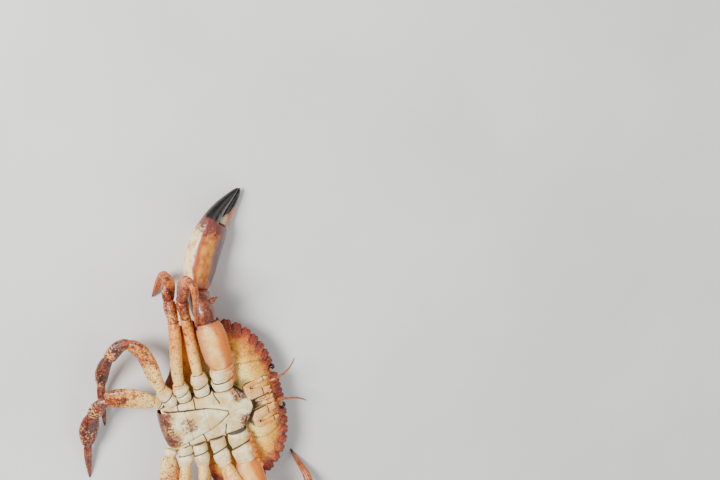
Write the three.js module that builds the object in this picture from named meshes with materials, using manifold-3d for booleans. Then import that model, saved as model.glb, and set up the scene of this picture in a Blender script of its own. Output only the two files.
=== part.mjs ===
// A large rock crab, life size, lying on its back with its belly up and its legs spread.
// Units are millimetres. +X is the crab's front, +Y its right side and +Z the way its belly faces.
// The origin is the middle of the small flat where the back of the shell rests on the floor.
import * as THREE from "three";
import Module from "manifold-3d";
import { mergeVertices } from "three/addons/utils/BufferGeometryUtils.js";

const wasm = await Module();
wasm.setup();
const V = (x, y, z) => new THREE.Vector3(x, y, z);

// Driving dimensions of the shell
const RIM_SIDE_Z = 24; // heights of the shell's edge over the floor
const RIM_FRONT_Z = 20;
const RIM_REAR_Z = 14;
const DOME_POWER = 2.4; // how late the back curves up to the edge
const BELLY_POWER = 5; // how steeply the underside rises from the edge
const REST_CUT = 0.5; // how much of the back's crown is flattened where it rests
const GAP = 0.3; // clearance between touching pieces
const BELLY_Z = 42; // level of the breastplate's middle
const FLANK_Z = 29; // level that the shell's underside rises to beside the hips
const CHEEK_Z = 36.5; // and the level it rises to beside the mouth

// Teeth of the shell's edge
const SIDE_TEETH = 11;
const SIDE_TOOTH_DEPTH = 3.4;
const ORBIT_INNER = 12.5; // along the edge from the middle of the front
const ORBIT_OUTER = 22;
const ORBIT_DEPTH = 3.6;
const FRONT_TEETH = 5;
const FRONT_TOOTH_DEPTH = 2.6;
const SAMPLES_PER_TOOTH = 4;
const REAR_SAMPLES = 11;
// The edge without its teeth, from the middle of the front round one side to the rear: [x, y]
const EDGE = [
  [44.5, 0], [44.2, 12], [43, 24], [40, 39], [33.5, 54], [22.5, 66.5], [10, 74], [-4, 78], [-17, 77.5],
  [-26, 74.5], [-30.5, 70], [-32.5, 62], [-35.5, 51], [-39.5, 41], [-46, 32], [-51.5, 22], [-53, 10],
  [-53.2, 0],
];
const LAST_TOOTH_AT = 9; // the last side tooth ends at this point of the edge

// Closed mesh from rings of equal point counts, with flat or pointed ends
function ringsGeometry(rings) {
  const n = rings[0].length;
  const positions = rings.flat().flatMap((p) => [p.x, p.y, p.z]);
  const index = [];
  for (let r = 0; r < rings.length - 1; r++)
    for (let k = 0; k < n; k++) {
      const a = r * n + k;
      const b = r * n + ((k + 1) % n);
      index.push(a, b, a + n, b, b + n, a + n);
    }
  for (const [ring, first, flip] of [
    [rings[0], 0, true],
    [rings.at(-1), (rings.length - 1) * n, false],
  ]) {
    const centre = ring.reduce((sum, p) => sum.add(p), V(0, 0, 0)).divideScalar(n);
    const c = positions.length / 3;
    positions.push(centre.x, centre.y, centre.z);
    for (let k = 0; k < n; k++) {
      const a = first + k;
      const b = first + ((k + 1) % n);
      index.push(...(flip ? [b, a, c] : [a, b, c]));
    }
  }
  const geometry = new THREE.BufferGeometry();
  geometry.setAttribute("position", new THREE.Float32BufferAttribute(positions, 3));
  geometry.setIndex(index);
  return geometry;
}

// A manifold solid from a three.js geometry, turned the right way out
function solidOf(geometry) {
  const plain = geometry.clone();
  for (const name of ["normal", "uv"]) plain.deleteAttribute(name);
  const merged = mergeVertices(plain, 1e-3);
  const vertProperties = new Float32Array(merged.attributes.position.array);
  const triVerts = new Uint32Array(merged.index.array);
  const build = () => new wasm.Manifold(new wasm.Mesh({ numProp: 3, vertProperties, triVerts }));
  const solid = build();
  if (solid.volume() > 0) return solid;
  for (let i = 0; i < triVerts.length; i += 3)
    [triVerts[i + 1], triVerts[i + 2]] = [triVerts[i + 2], triVerts[i + 1]];
  return build();
}

// The largest closed body of a solid, cut off flat at the floor, as a three.js geometry
function geometryOf(solid) {
  const standing = solid.trimByPlane([0, 0, 1], 0);
  const pieces = standing.decompose().sort((a, b) => b.volume() - a.volume());
  const mesh = pieces[0].getMesh();
  const geometry = new THREE.BufferGeometry();
  geometry.setAttribute("position", new THREE.BufferAttribute(new Float32Array(mesh.vertProperties), 3));
  geometry.setIndex(new THREE.BufferAttribute(new Uint32Array(mesh.triVerts), 1));
  return geometry;
}

// Points round the edge: each has its plain place and its toothed place
function rimPoints() {
  const edge = new THREE.CatmullRomCurve3(EDGE.map(([x, y]) => V(x, y, 0)));
  edge.arcLengthDivisions = 400;
  const total = edge.getLength();
  const lengths = edge.getLengths(EDGE.length - 1);
  const half = [];
  const add = (distance, out) => {
    const at = edge.getPointAt(Math.min(distance / total, 1));
    const way = edge.getTangentAt(Math.min(distance / total, 1));
    const outward = V(way.y, -way.x, 0);
    const forward = V(at.x, at.y, 0).normalize().x;
    const endZ = forward > 0 ? RIM_FRONT_Z : RIM_REAR_Z;
    at.z = THREE.MathUtils.lerp(RIM_SIDE_Z, endZ, forward ** 2);
    half.push({ plain: at, toothed: at.clone().addScaledVector(outward, out) });
  };
  const lobe = (f) => 1 - Math.abs(2 * f - 1) ** 3;
  const pitch = (2 * ORBIT_INNER) / FRONT_TEETH;
  for (let d = 0; d < ORBIT_INNER - 0.1; d += pitch / SAMPLES_PER_TOOTH)
    add(d, FRONT_TOOTH_DEPTH * lobe((d / pitch + 0.5) % 1));
  for (const f of [0.08, 0.5, 0.92])
    add(THREE.MathUtils.lerp(ORBIT_INNER, ORBIT_OUTER, f), -ORBIT_DEPTH * lobe(f));
  const lastTooth = lengths[LAST_TOOTH_AT];
  const steps = SIDE_TEETH * SAMPLES_PER_TOOTH;
  for (let i = 0; i < steps; i++) {
    const share = i / steps;
    const phase = (i % SAMPLES_PER_TOOTH) / SAMPLES_PER_TOOTH;
    const depth = SIDE_TOOTH_DEPTH * THREE.MathUtils.lerp(0.75, 1.1, share) * lobe(phase);
    add(THREE.MathUtils.lerp(ORBIT_OUTER, lastTooth, share ** 1.12), depth);
  }
  for (let i = 0; i < REAR_SAMPLES; i++) add(THREE.MathUtils.lerp(lastTooth, total, i / REAR_SAMPLES), 0);
  add(total, 0);
  const mirrored = half.slice(1, -1).reverse();
  const flip = (p) => V(p.x, -p.y, p.z);
  return [...half, ...mirrored.map((p) => ({ plain: flip(p.plain), toothed: flip(p.toothed) }))];
}

const RIM = rimPoints();
const smooth = (a, b, x) => THREE.MathUtils.smoothstep(x, a, b);

// Height of the shell's belly side at a share rho of the way out to an edge at height rimZ
function bellySide(x, rho, rimZ) {
  const inner = THREE.MathUtils.lerp(FLANK_Z, CHEEK_Z, smooth(2, 26, x));
  return THREE.MathUtils.lerp(inner, rimZ, rho ** BELLY_POWER);
}

function carapace() {
  const backRings = [0.12, 0.3, 0.5, 0.68, 0.84, 0.95];
  const bellyRings = [0.95, 0.84, 0.68, 0.5, 0.3, 0.12];
  const ringAt = (rho, belly) =>
    RIM.map(({ plain }) => {
      const p = V(plain.x * rho, plain.y * rho, 0);
      const back = Math.max(plain.z * rho ** DOME_POWER - REST_CUT, 0);
      p.z = belly ? bellySide(p.x, rho, plain.z) : back;
      return p;
    });
  const edgeZ = 1.1; // half the thickness of the shell's edge
  const edgeBack = RIM.map(({ toothed: p }) => V(p.x, p.y, p.z - edgeZ));
  const edgeBelly = RIM.map(({ toothed: p }) => V(p.x, p.y, p.z + edgeZ));
  const rings = [
    ...backRings.map((rho) => ringAt(rho, false)),
    edgeBack,
    edgeBelly,
    ...bellyRings.map((rho) => ringAt(rho, true)),
  ];
  return solidOf(ringsGeometry(rings));
}

// One limb segment: a body along a smooth curve from one joint plane to the next.
// rows holds [share of the length, half the tall axis, half the thin axis].
function segment({ from, to, fromNormal, toNormal, tall, rows, sides = 10, grow = 0 }) {
  const chord = from.distanceTo(to);
  const start = from.clone().addScaledVector(fromNormal, GAP / 2 - grow);
  const end = to.clone().addScaledVector(toNormal, -GAP / 2 + grow);
  const pull = chord * 0.36;
  const curve = new THREE.CubicBezierCurve3(
    start,
    start.clone().addScaledVector(fromNormal, pull),
    end.clone().addScaledVector(toNormal, -pull),
    end,
  );
  const rings = rows.map(([share, tallHalf, thinHalf]) => {
    const at = curve.getPoint(share);
    const along = curve.getTangent(share);
    const up = tall.clone().addScaledVector(along, -tall.dot(along)).normalize();
    const side = along.clone().cross(up);
    return Array.from({ length: sides }, (_, k) => {
      const turn = (2 * Math.PI * k) / sides;
      return at
        .clone()
        .addScaledVector(up, (tallHalf + grow) * Math.cos(turn))
        .addScaledVector(side, (thinHalf + grow) * Math.sin(turn));
    });
  });
  return solidOf(ringsGeometry(rings));
}

// Half sizes along each kind of segment, for a leg of full size
const LEG_ROWS = {
  base: [[0, 5.8, 5.7], [0.3, 6.9, 6.3], [0.5, 5.7, 5.9], [0.64, 6.4, 6.9], [1, 5, 5.3]],
  merus: [[0, 4.4, 4], [0.12, 6.2, 4.7], [0.45, 8.2, 5.1], [0.82, 7.7, 5], [0.95, 7, 4.8], [1, 5.8, 4.4]],
  carpus: [[0, 4.3, 3.9], [0.25, 5.7, 4.7], [0.7, 6.9, 5.3], [0.92, 6.5, 5], [1, 5.5, 4.4]],
  propodus: [[0, 4.3, 3.8], [0.2, 6.2, 4.5], [0.5, 6.9, 4.7], [0.8, 5.9, 4.2], [1, 4.2, 3.5]],
  dactyl: [[0, 3.5, 3.1], [0.15, 4, 3.4], [0.5, 3.3, 2.7], [0.8, 2.1, 1.7], [0.95, 1, 0.8], [1, 0.4, 0.35]],
};
const CLAW_ROWS = {
  base: [[0, 8, 8.2], [0.3, 9, 9.8], [0.5, 7.9, 8.7], [0.66, 8.8, 10], [1, 7.6, 8.6]],
  merus: [[0, 8.6, 6.6], [0.2, 11.4, 7.8], [0.55, 12, 8.5], [0.88, 11.2, 8.6], [1, 9.2, 7.6]],
  carpus: [[0, 8, 7.2], [0.3, 11, 9.2], [0.7, 11.8, 9.6], [0.93, 10.4, 9.2], [1, 8.6, 7.8]],
};

// Where each limb's joints lie: hip, end of the base, knee, wrist, finger joint and tip.
// tall is the way the broad sides' upper edge points, for each segment. wide is extra breadth of the
// base and broad is extra height of the merus and propodus.
const LEGS = {
  right_leg_1: {
    size: 0.97,
    wide: 1.12,
    joints: [
      V(-18, 20, 35), V(-17, 40, 37), V(-12.6, 90.5, 37),
      V(-10.7, 109, 46), V(-1.5, 127, 66), V(-6.7, 84.5, 57),
    ],
    tall: [V(0, 0, 1), V(0, 0, 1), V(0, -0.6, 1), V(0, -0.8, 0.6), V(0, 0.7, 1)],
  },
  right_leg_2: {
    size: 1,
    joints: [
      V(-33, 20, 34.5), V(-33.7, 36, 36), V(-23, 89, 37),
      V(-21.5, 105.5, 31), V(-17.4, 122.5, 24), V(-34.2, 103, 0),
    ],
    tall: [V(0, 0, 1), V(0.1, 0, 1), V(0.2, 0, 1), V(-0.6, 0, 0.8), V(-0.3, 0.9, 0.3)],
  },
  right_leg_3: {
    size: 0.96,
    joints: [
      V(-45, 19, 33.5), V(-48.8, 36, 34), V(-61.9, 79.7, 30),
      V(-80.7, 71.9, 25), V(-94.8, 46.5, 11), V(-104.7, 5, 0),
    ],
    tall: [V(0, 0, 1), V(0.7, 0.2, 0.7), V(0.4, 0.8, 0.5), V(-0.7, 0.4, 0.6), V(-0.8, 0.2, 0.6)],
  },
  right_leg_4: {
    size: 0.92,
    hip: -0.6,
    joints: [
      V(-53.5, 19.5, 25.5), V(-58.5, 25, 29), V(-92.5, 37.6, 27),
      V(-107.8, 26.6, 21), V(-121, -0.5, 11), V(-131, -37, 0),
    ],
    tall: [V(0, 0, 1), V(0.2, 0.95, 0.3), V(-0.4, 0.9, 0.3), V(-0.9, 0.4, 0.2), V(-0.9, 0.2, 0.4)],
    broad: 1.28,
  },
  left_leg_1: {
    size: 0.97,
    wide: 1.12,
    joints: [
      V(-18, -20, 35), V(-17.5, -46, 39.5), V(-4, -91, 57.5),
      V(19.4, -107.2, 43), V(45.4, -107.3, 19), V(40.3, -73.5, 0),
    ],
    tall: [V(0, 0, 1), V(1, 0.3, 0.2), V(0.5, 0.8, 0.5), V(0, 0.9, 0.4), V(0.9, 0, 0.5)],
  },
  left_leg_2: {
    size: 1,
    joints: [
      V(-33, -20, 34.5), V(-35.5, -41, 36.5), V(-46, -95, 35),
      V(-50, -116, 28), V(-50, -143, 15), V(-43, -181, 0),
    ],
    tall: [V(0, 0, 1), V(-0.5, 0, 0.9), V(-0.6, 0, 0.8), V(-0.8, 0, 0.6), V(-0.8, 0, 0.6)],
  },
  left_leg_3: {
    size: 0.96,
    joints: [
      V(-45, -19, 33.5), V(-49.5, -37, 35), V(-65, -82, 32),
      V(-75, -99.5, 26), V(-86, -124, 14), V(-84, -161, 0),
    ],
    tall: [V(0, 0, 1), V(-0.5, 0.2, 0.8), V(-0.6, 0.2, 0.8), V(-0.7, 0.3, 0.6), V(-0.8, 0.2, 0.6)],
  },
  left_leg_4: {
    size: 0.92,
    hip: -0.6,
    joints: [
      V(-53.5, -19.5, 25.5), V(-59.5, -27, 29), V(-69, -64, 27),
      V(-79, -80, 21), V(-95, -106, 11), V(-108, -140, 0),
    ],
    tall: [V(0, 0, 1), V(-0.8, 0.5, 0.4), V(-0.8, 0.5, 0.4), V(-0.8, 0.5, 0.4), V(-0.8, 0.4, 0.5)],
    broad: 1.28,
  },
};

const SEGMENTS = ["base", "merus", "carpus", "propodus", "dactyl"];
const MOST_JOINT_TURN = THREE.MathUtils.degToRad(42);

// The facing of each joint's plane: half way round the bend, or less where the bend is sharp
function jointNormals(joints, hipNormal) {
  const ways = joints.slice(1).map((p, i) => p.clone().sub(joints[i]).normalize());
  const between = ways.slice(1).map((next, i) => {
    const before = ways[i];
    const bend = before.angleTo(next);
    const turn = Math.min(bend / 2, MOST_JOINT_TURN);
    const axis = before.clone().cross(next).normalize();
    return before.clone().applyAxisAngle(axis, turn);
  });
  return [hipNormal, ...between, ways.at(-1)];
}

function legSegments({ size, joints, tall, hip = 0, broad = 1, wide = 1 }, grow = 0) {
  const normals = jointNormals(joints, V(hip, Math.sign(joints[0].y), 0).normalize());
  const tallness = [1, broad, 1, broad, 1];
  const thickness = [wide, 1, 1, 1, 1];
  return SEGMENTS.map((kind, i) =>
    segment({
      from: joints[i],
      to: joints[i + 1],
      fromNormal: normals[i],
      toNormal: normals[i + 1],
      tall: tall[i],
      rows: LEG_ROWS[kind].map(([at, h, t]) => [at, h * size * tallness[i], t * size * thickness[i]]),
      grow,
    }),
  );
}

// The claws' arms and hands
const CLAWS = {
  right_claw: {
    joints: [
      V(0, 20, 35), V(2.5, 41, 38.5), V(3, 80.5, 39),
      V(3.5, 104.5, 24), V(32.5, 152, 12.2), V(59.8, 172.8, 6),
    ],
    tall: [V(0, 0, 1), V(1, 0, 0.2), V(0, 0.5, 1), V(0.55, -0.3, -0.78)],
  },
  left_claw: {
    joints: [
      V(0, -20, 35), V(0, -48, 39.5), V(-1, -86, 39.5),
      V(-6, -108, 24.4), V(-14, -163, 10.2), V(3, -196, 4),
    ],
    tall: [V(0, 0, 1), V(1, 0, 0.2), V(0, 0.5, 1), V(0.85, -0.1, -0.5)],
  },
};

// Half sizes along the palm, and along both fingers from their root to the tip
const PALM_ROWS = [
  [0, 8, 7.6], [0.1, 12, 10], [0.35, 17, 12], [0.65, 18, 12], [0.88, 16.2, 11], [1, 13.8, 9.4],
];
const FINGER_ROWS = [
  [0, 8.4, 7.4], [0.25, 7.6, 6.2], [0.55, 5.6, 4.6], [0.82, 3.2, 2.8], [0.96, 1.4, 1.3], [1, 0.6, 0.6],
];
const FINGER_SPREAD = 8.4; // from the hand's middle line out to each finger's line at the root

// A stout spine, wide at its root and sharp at its tip
function spine(root, tip, radius) {
  const way = tip.clone().sub(root).normalize();
  return segment({
    from: root,
    to: tip,
    fromNormal: way,
    toNormal: way,
    tall: Math.abs(way.z) < 0.9 ? V(0, 0, 1) : V(1, 0, 0),
    rows: [[0, radius, radius], [0.6, radius * 0.55, radius * 0.55], [1, 0.35, 0.35]],
    sides: 6,
  });
}

function clawSegments({ joints, tall }, grow = 0) {
  const normals = jointNormals(joints, V(0, Math.sign(joints[0].y), 0));
  const arm = SEGMENTS.slice(0, 3).map((kind, i) =>
    segment({
      from: joints[i],
      to: joints[i + 1],
      fromNormal: normals[i],
      toNormal: normals[i + 1],
      tall: tall[i],
      rows: CLAW_ROWS[kind],
      sides: 14,
      grow,
    }),
  );
  const [wrist, root, tip] = joints.slice(3);
  const spineRoot = joints[2].clone().lerp(wrist, 0.62).add(V(6, 0, 4));
  const spineTip = spineRoot.clone().add(V(7.5, 3 * Math.sign(wrist.y), 2));
  arm[2] = arm[2].add(spine(spineRoot, spineTip, 3));
  const handWay = root.clone().sub(wrist).normalize();
  const up = tall[3].clone().addScaledVector(handWay, -tall[3].dot(handWay)).normalize();
  const palm = segment({
    from: wrist,
    to: root,
    fromNormal: normals[3],
    toNormal: normals[4],
    tall: up,
    rows: PALM_ROWS,
    sides: 16,
  });
  const fingerWay = tip.clone().sub(root).normalize();
  const finger = (side, rootShift, tipShift, grown = 0) =>
    segment({
      from: root.clone().addScaledVector(up, side * FINGER_SPREAD).addScaledVector(handWay, rootShift),
      to: tip.clone().addScaledVector(up, side * tipShift),
      fromNormal: normals[4],
      toNormal: fingerWay.clone().addScaledVector(up, -side * 0.3).normalize(),
      tall: up,
      rows: FINGER_ROWS,
      sides: 12,
      grow: grown,
    });
  const moving = finger(1, GAP, 1.2);
  const fixed = finger(-1, -6, 1.6).subtract(finger(1, GAP, 1.2, GAP)); // gives way to the moving one
  const hand = palm.add(fixed);
  return { arm, hand, moving };
}

// Breastplate: [x, half width, height of its edge, height of its root in the shell].
// Its edge runs out to a point between the hips of neighbouring limbs.
const STERNUM_ROWS = [
  [-54.6, 12, 35, 18], [-49.6, 14.8, 38, 19], [-48.9, 18.5, 38.5, 20], [-39.5, 19, 39, 24],
  [-38.5, 19.7, 39, 24.5], [-28.2, 19.7, 39.3, 26.6], [-25.6, 21.6, 38.6, 27], [-23.4, 19.7, 39.3, 27.2],
  [-12.2, 19.7, 39.5, 28], [-10.2, 21.8, 38.7, 28], [-8.4, 19.7, 39.5, 28], [6, 19.4, 39, 28],
  [9, 16.5, 38.5, 28], [14, 11, 38.5, 28], [18, 4, 38, 28],
];

function sternum(grow = 0) {
  const last = STERNUM_ROWS.length - 1;
  const rings = STERNUM_ROWS.map(([x, half, edgeZ, rootZ], i) => {
    const bottom = rootZ + GAP - grow;
    const topAt = (share) => THREE.MathUtils.lerp(BELLY_Z, edgeZ, share ** 2) + grow;
    const shift = i === 0 ? -grow : i === last ? grow : 0;
    const across = [-1, -0.66, -0.33, 0, 0.33, 0.66, 1];
    return [
      ...across.map((s) => V(x + shift, s * (half + grow), topAt(Math.abs(s)))),
      V(x + shift, half + grow, bottom),
      V(x + shift, -half - grow, bottom),
    ];
  });
  return solidOf(ringsGeometry(rings));
}

// Abdomen: [x, z, half width] down its middle line, from its tip round the rear to the shell
const ABDOMEN_ROWS = [
  [-3, 40.9, 1.2], [-10, 41.3, 5.4], [-20, 41.4, 9.6], [-32, 41.3, 12], [-45, 40.9, 15],
  [-52.5, 39.4, 16.2], [-56.6, 35, 16], [-58, 28, 14.8], [-56.6, 20.5, 15.5], [-53.4, 14.6, 18],
];
const ABDOMEN_HALF_THICK = 1.7;

function abdomen(grow = 0) {
  const line = new THREE.CatmullRomCurve3(ABDOMEN_ROWS.map(([x, z]) => V(x, 0, z)));
  const last = ABDOMEN_ROWS.length - 1;
  const rings = ABDOMEN_ROWS.map(([, , half], i) => {
    const at = line.getPoint(i / last);
    const along = line.getTangent(i / last);
    const out = V(-along.z, 0, along.x).multiplyScalar(-1);
    const endShift = i === 0 ? -grow : i === last ? grow : 0;
    at.addScaledVector(along, endShift);
    const corner = (s, t) =>
      at
        .clone()
        .addScaledVector(V(0, 1, 0), s * (half + grow))
        .addScaledVector(out, t * (ABDOMEN_HALF_THICK + grow));
    return [
      corner(-1, -0.7), corner(-1, 0.2), corner(-0.6, 0.85), corner(0, 1), corner(0.6, 0.85),
      corner(1, 0.2), corner(1, -0.7), corner(0, -1),
    ];
  });
  return solidOf(ringsGeometry(rings));
}

// A third maxilliped: the broad jaw plate and the narrow strip outside it, seen from the belly
const JAW_PLATE = [[12, 13.5], [19, 4.8], [35, 4.8], [38.5, 11], [22, 15.2], [14, 15.6]];
const JAW_STRIP = [[15, 17.2], [22, 16.5], [37, 16.6], [38.5, 19], [34, 21.5], [15, 20.6]];
const JAW_THICK = 4.2;
const JAW_PITCH = THREE.MathUtils.degToRad(17); // the plates slope down towards the front
const JAW_HINGE = V(10, 0, 37.6);
const MOUTH_Y = -3; // the mouth sits a little off the middle line, as the animal twists

function jaw(side, grow = 0) {
  const flat = ([x, y]) => new THREE.Vector2(x - JAW_HINGE.x, side * y + MOUTH_Y);
  const outline = (points) => new THREE.Shape(points.map(flat));
  const slab = (points) => {
    const geometry = new THREE.ExtrudeGeometry(outline(points), {
      depth: JAW_THICK - 1.2,
      bevelThickness: 0.6 + grow,
      bevelSize: 0.6 + grow,
      bevelOffset: -0.6,
      bevelSegments: 1,
      curveSegments: 4,
    });
    geometry.rotateY(JAW_PITCH).translate(JAW_HINGE.x, 0, JAW_HINGE.z);
    return solidOf(geometry);
  };
  const strip = slab(JAW_STRIP);
  const link = slab([[14, 13], [20, 13], [20, 19], [15, 19]]).translate([0, 0, -1]);
  return slab(JAW_PLATE).add(strip).add(link).subtract(sternum(GAP));
}

// Eyes on their stalks, and the two short feelers
function eye(side, grow = 0) {
  return segment({
    from: V(38.5, side * 14.2, 22.5),
    to: V(46, side * 20, 21.5),
    fromNormal: V(0.8, side * 0.6, 0).normalize(),
    toNormal: V(0.9, side * 0.4, 0).normalize(),
    tall: V(0, 0, 1),
    rows: [[0, 1.6, 1.6], [0.2, 1.7, 1.7], [0.5, 1.9, 1.9], [0.7, 2.7, 2.7], [0.9, 2.3, 2.3], [1, 1, 1]],
    sides: 10,
    grow,
  });
}

function feeler(side, grow = 0) {
  return segment({
    from: V(38.5, side * 9.2, 27),
    to: V(64, side * 21, 24),
    fromNormal: V(0.95, side * 0.1, 0.28).normalize(),
    toNormal: V(0.6, side * 0.8, -0.3).normalize(),
    tall: V(0, 0, 1),
    rows: [
      [0, 2.2, 2.2], [0.16, 2.3, 2.3], [0.22, 1.1, 1.1], [0.5, 0.8, 0.8], [0.8, 0.6, 0.6], [1, 0.4, 0.4],
    ],
    sides: 8,
    grow,
  });
}

// The mouth: a hollow between the jaw plates, with the two mandibles closed in its middle
const MOUTH_FLOOR_Z = 31;
function mouthCut() {
  const hollow = new THREE.BoxGeometry(21, 9, 12);
  hollow.translate(27.5, MOUTH_Y, MOUTH_FLOOR_Z + 6);
  return solidOf(hollow);
}

function mandible(side) {
  const height = 2.3;
  const y = MOUTH_Y + side * 1.9;
  return segment({
    from: V(21, y, MOUTH_FLOOR_Z + height + GAP),
    to: V(37.5, y, MOUTH_FLOOR_Z + height + GAP),
    fromNormal: V(1, 0, 0),
    toNormal: V(1, 0, 0),
    tall: V(0, 0, 1),
    rows: [[0, 1.4, 1.3], [0.3, 1.8, 1.6], [0.75, 2.3, 2.05], [0.95, 2, 1.9], [1, 1.2, 1.2]],
    sides: 8,
  });
}

// The two folded antennules between the eyes, fused to the shell
function face() {
  const antennule = (side) => spine(V(36.5, side * 4.2, 29), V(45.5, side * 5.6, 26.5), 2.1);
  return antennule(1).add(antennule(-1));
}

// Colours read off the animal
const shade = (hex, roughness) => new THREE.MeshStandardMaterial({ color: hex, roughness, metalness: 0 });
const FINISH = {
  shell: shade(0xb0582c, 0.5),
  belly: shade(0xd9cfae, 0.45),
  limb: shade(0xd8ab74, 0.45),
  limb_end: shade(0x9c4a2c, 0.45),
  claw: shade(0xcf8a45, 0.4),
  claw_tip: shade(0x241f20, 0.3),
  eye: shade(0x14100e, 0.15),
  feeler: shade(0xb4653a, 0.5),
};

const crab = new THREE.Group();
const nodes = [];
function addNode(name, solid, finish) {
  nodes.push({ name, solid, finish });
}

const legNames = Object.keys(LEGS);
for (const name of legNames)
  legSegments(LEGS[name]).forEach((solid, i) =>
    addNode(`${name}_${SEGMENTS[i]}`, solid, i < 2 ? (i === 0 ? "belly" : "limb") : "limb_end"),
  );
for (const name of Object.keys(CLAWS)) {
  const { arm, hand, moving } = clawSegments(CLAWS[name]);
  arm.forEach((solid, i) => addNode(`${name}_${SEGMENTS[i]}`, solid, i === 0 ? "belly" : "claw"));
  addNode(`${name}_hand`, hand, "claw");
  addNode(`${name}_finger`, moving, "claw_tip");
}

const sides = { right: 1, left: -1 };
for (const [word, side] of Object.entries(sides)) {
  addNode(`${word}_jaw`, jaw(side), "belly");
  addNode(`${word}_eye`, eye(side), "eye");
  addNode(`${word}_feeler`, feeler(side), "feeler");
}
addNode("mandibles", mandible(1).add(mandible(-1)), "belly");
addNode("abdomen", abdomen(), "belly");
addNode("sternum", sternum().subtract(abdomen(GAP)), "belly");

// The shell gives way to all that is set into it
let shell = carapace().subtract(sternum(GAP)).subtract(abdomen(GAP)).subtract(mouthCut());
for (const side of Object.values(sides))
  shell = shell.subtract(jaw(side, GAP)).subtract(eye(side, GAP)).subtract(feeler(side, GAP));
shell = shell.add(face());
for (const name of legNames) shell = shell.subtract(legSegments(LEGS[name], GAP)[0]);
for (const name of Object.keys(CLAWS)) shell = shell.subtract(clawSegments(CLAWS[name], GAP).arm[0]);
addNode("carapace", shell, "shell");

for (const { name, solid, finish } of nodes) {
  const mesh = new THREE.Mesh(geometryOf(solid), FINISH[finish]);
  mesh.name = name;
  crab.add(mesh);
}

export default crab;
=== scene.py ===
"""A life-size rock crab lying on its back, its shell, limbs and claws as fine marked surfaces."""

import logging
import math
from collections.abc import Sequence
from dataclasses import dataclass, field
from enum import Enum
from typing import Union

import bpy
import numpy as np
from mathutils import Matrix, Vector
from mathutils.kdtree import KDTree


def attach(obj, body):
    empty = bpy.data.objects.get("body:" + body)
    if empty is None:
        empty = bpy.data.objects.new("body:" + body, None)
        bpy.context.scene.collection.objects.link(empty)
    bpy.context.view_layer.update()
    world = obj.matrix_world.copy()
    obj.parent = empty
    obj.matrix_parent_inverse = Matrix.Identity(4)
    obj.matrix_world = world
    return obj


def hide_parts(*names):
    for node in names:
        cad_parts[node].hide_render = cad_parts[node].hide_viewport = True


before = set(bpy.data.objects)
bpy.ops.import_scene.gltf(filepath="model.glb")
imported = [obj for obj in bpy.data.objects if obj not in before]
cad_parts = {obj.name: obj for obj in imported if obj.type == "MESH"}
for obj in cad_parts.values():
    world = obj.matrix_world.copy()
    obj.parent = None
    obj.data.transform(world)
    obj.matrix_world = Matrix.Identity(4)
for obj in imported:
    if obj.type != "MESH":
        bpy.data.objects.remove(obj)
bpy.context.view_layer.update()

LOG = logging.getLogger("crab")
MM = 0.001
BODY = "root"
GAP = 0.3
Array = np.ndarray
Colour = tuple[float, float, float, float]
Place = tuple[float, float, float]
Rows = Sequence[tuple[float, ...]]
Materials = dict[str, bpy.types.Material]


def paint(code: str) -> Colour:
    """Turns a screen colour into a linear one.

    Args:
        code: Six hexadecimal digits.

    Returns:
        Red, green, blue and alpha for a shader socket.
    """
    parts = [int(code[i : i + 2], 16) / 255 for i in (0, 2, 4)]
    linear = [c / 12.92 if c <= 0.04045 else ((c + 0.055) / 1.055) ** 2.4 for c in parts]
    return (linear[0], linear[1], linear[2], 1.0)


def vec(x: float, y: float, z: float) -> Array:
    """Returns a point or direction as an array."""
    return np.array([x, y, z], dtype=float)


def unit(way: Array) -> Array:
    """Returns directions scaled to length one."""
    return way / np.maximum(np.linalg.norm(way, axis=-1, keepdims=True), 1e-9)


def ease(low: float, high: float, at: Array | float) -> Array:
    """Returns 0 below low, 1 above high and a smooth rise between.

    Args:
        low: Where the rise starts.
        high: Where it ends; it may be below low for a fall.
        at: Values to look up.

    Returns:
        The share risen at each value.
    """
    share = np.clip((at - low) / (high - low), 0, 1)
    return share * share * (3 - 2 * share)


def peak(offset: Array, width: float) -> Array:
    """Returns a soft bell of 1 where the offset is 0."""
    return np.exp(-((offset / width) ** 2))


def fuller(wave: Array, power: float) -> Array:
    """Returns a wave raised to a power, with its sign kept."""
    return np.sign(wave) * np.abs(wave) ** power


def circle(count: int) -> Array:
    """Returns evenly spaced angles once round."""
    return np.linspace(0, 2 * math.pi, count, endpoint=False)


def cubic(t: Array, start: Array, leave: Array, end: Array, arrive: Array) -> Array:
    """Returns a curve between two values.

    Args:
        t: Share of the way.
        start: Value at the start.
        leave: Slope at the start.
        end: Value at the end.
        arrive: Slope at the end.

    Returns:
        The values along the way.
    """
    first = (2 * t**3 - 3 * t**2 + 1) * start + (t**3 - 2 * t**2 + t) * leave
    return first + (3 * t**2 - 2 * t**3) * end + (t**3 - t**2) * arrive


def profile(rows: Rows, at: Array) -> list[Array]:
    """Reads smooth curves through a table without overshoot.

    Args:
        rows: Rows of a rising position and one or more values.
        at: Positions to read.

    Returns:
        One array of values for each value column.
    """
    table = np.array(rows, dtype=float)
    x = table[:, 0]
    step = np.diff(x)
    i = np.clip(np.searchsorted(x, at) - 1, 0, len(step) - 1)
    t = np.clip((at - x[i]) / step[i], 0, 1)
    curves = []
    for y in table[:, 1:].T:
        slope = np.diff(y) / step
        tangent = np.zeros_like(y)
        tangent[0], tangent[-1] = slope[0], slope[-1]
        same = slope[:-1] * slope[1:] > 0
        mean = 2 * slope[:-1] * slope[1:] / np.where(same, slope[:-1] + slope[1:], 1)
        tangent[1:-1] = np.where(same, mean, 0)
        curves.append(cubic(t, y[i], step[i] * tangent[i], y[i + 1], step[i] * tangent[i + 1]))
    return curves


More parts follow.
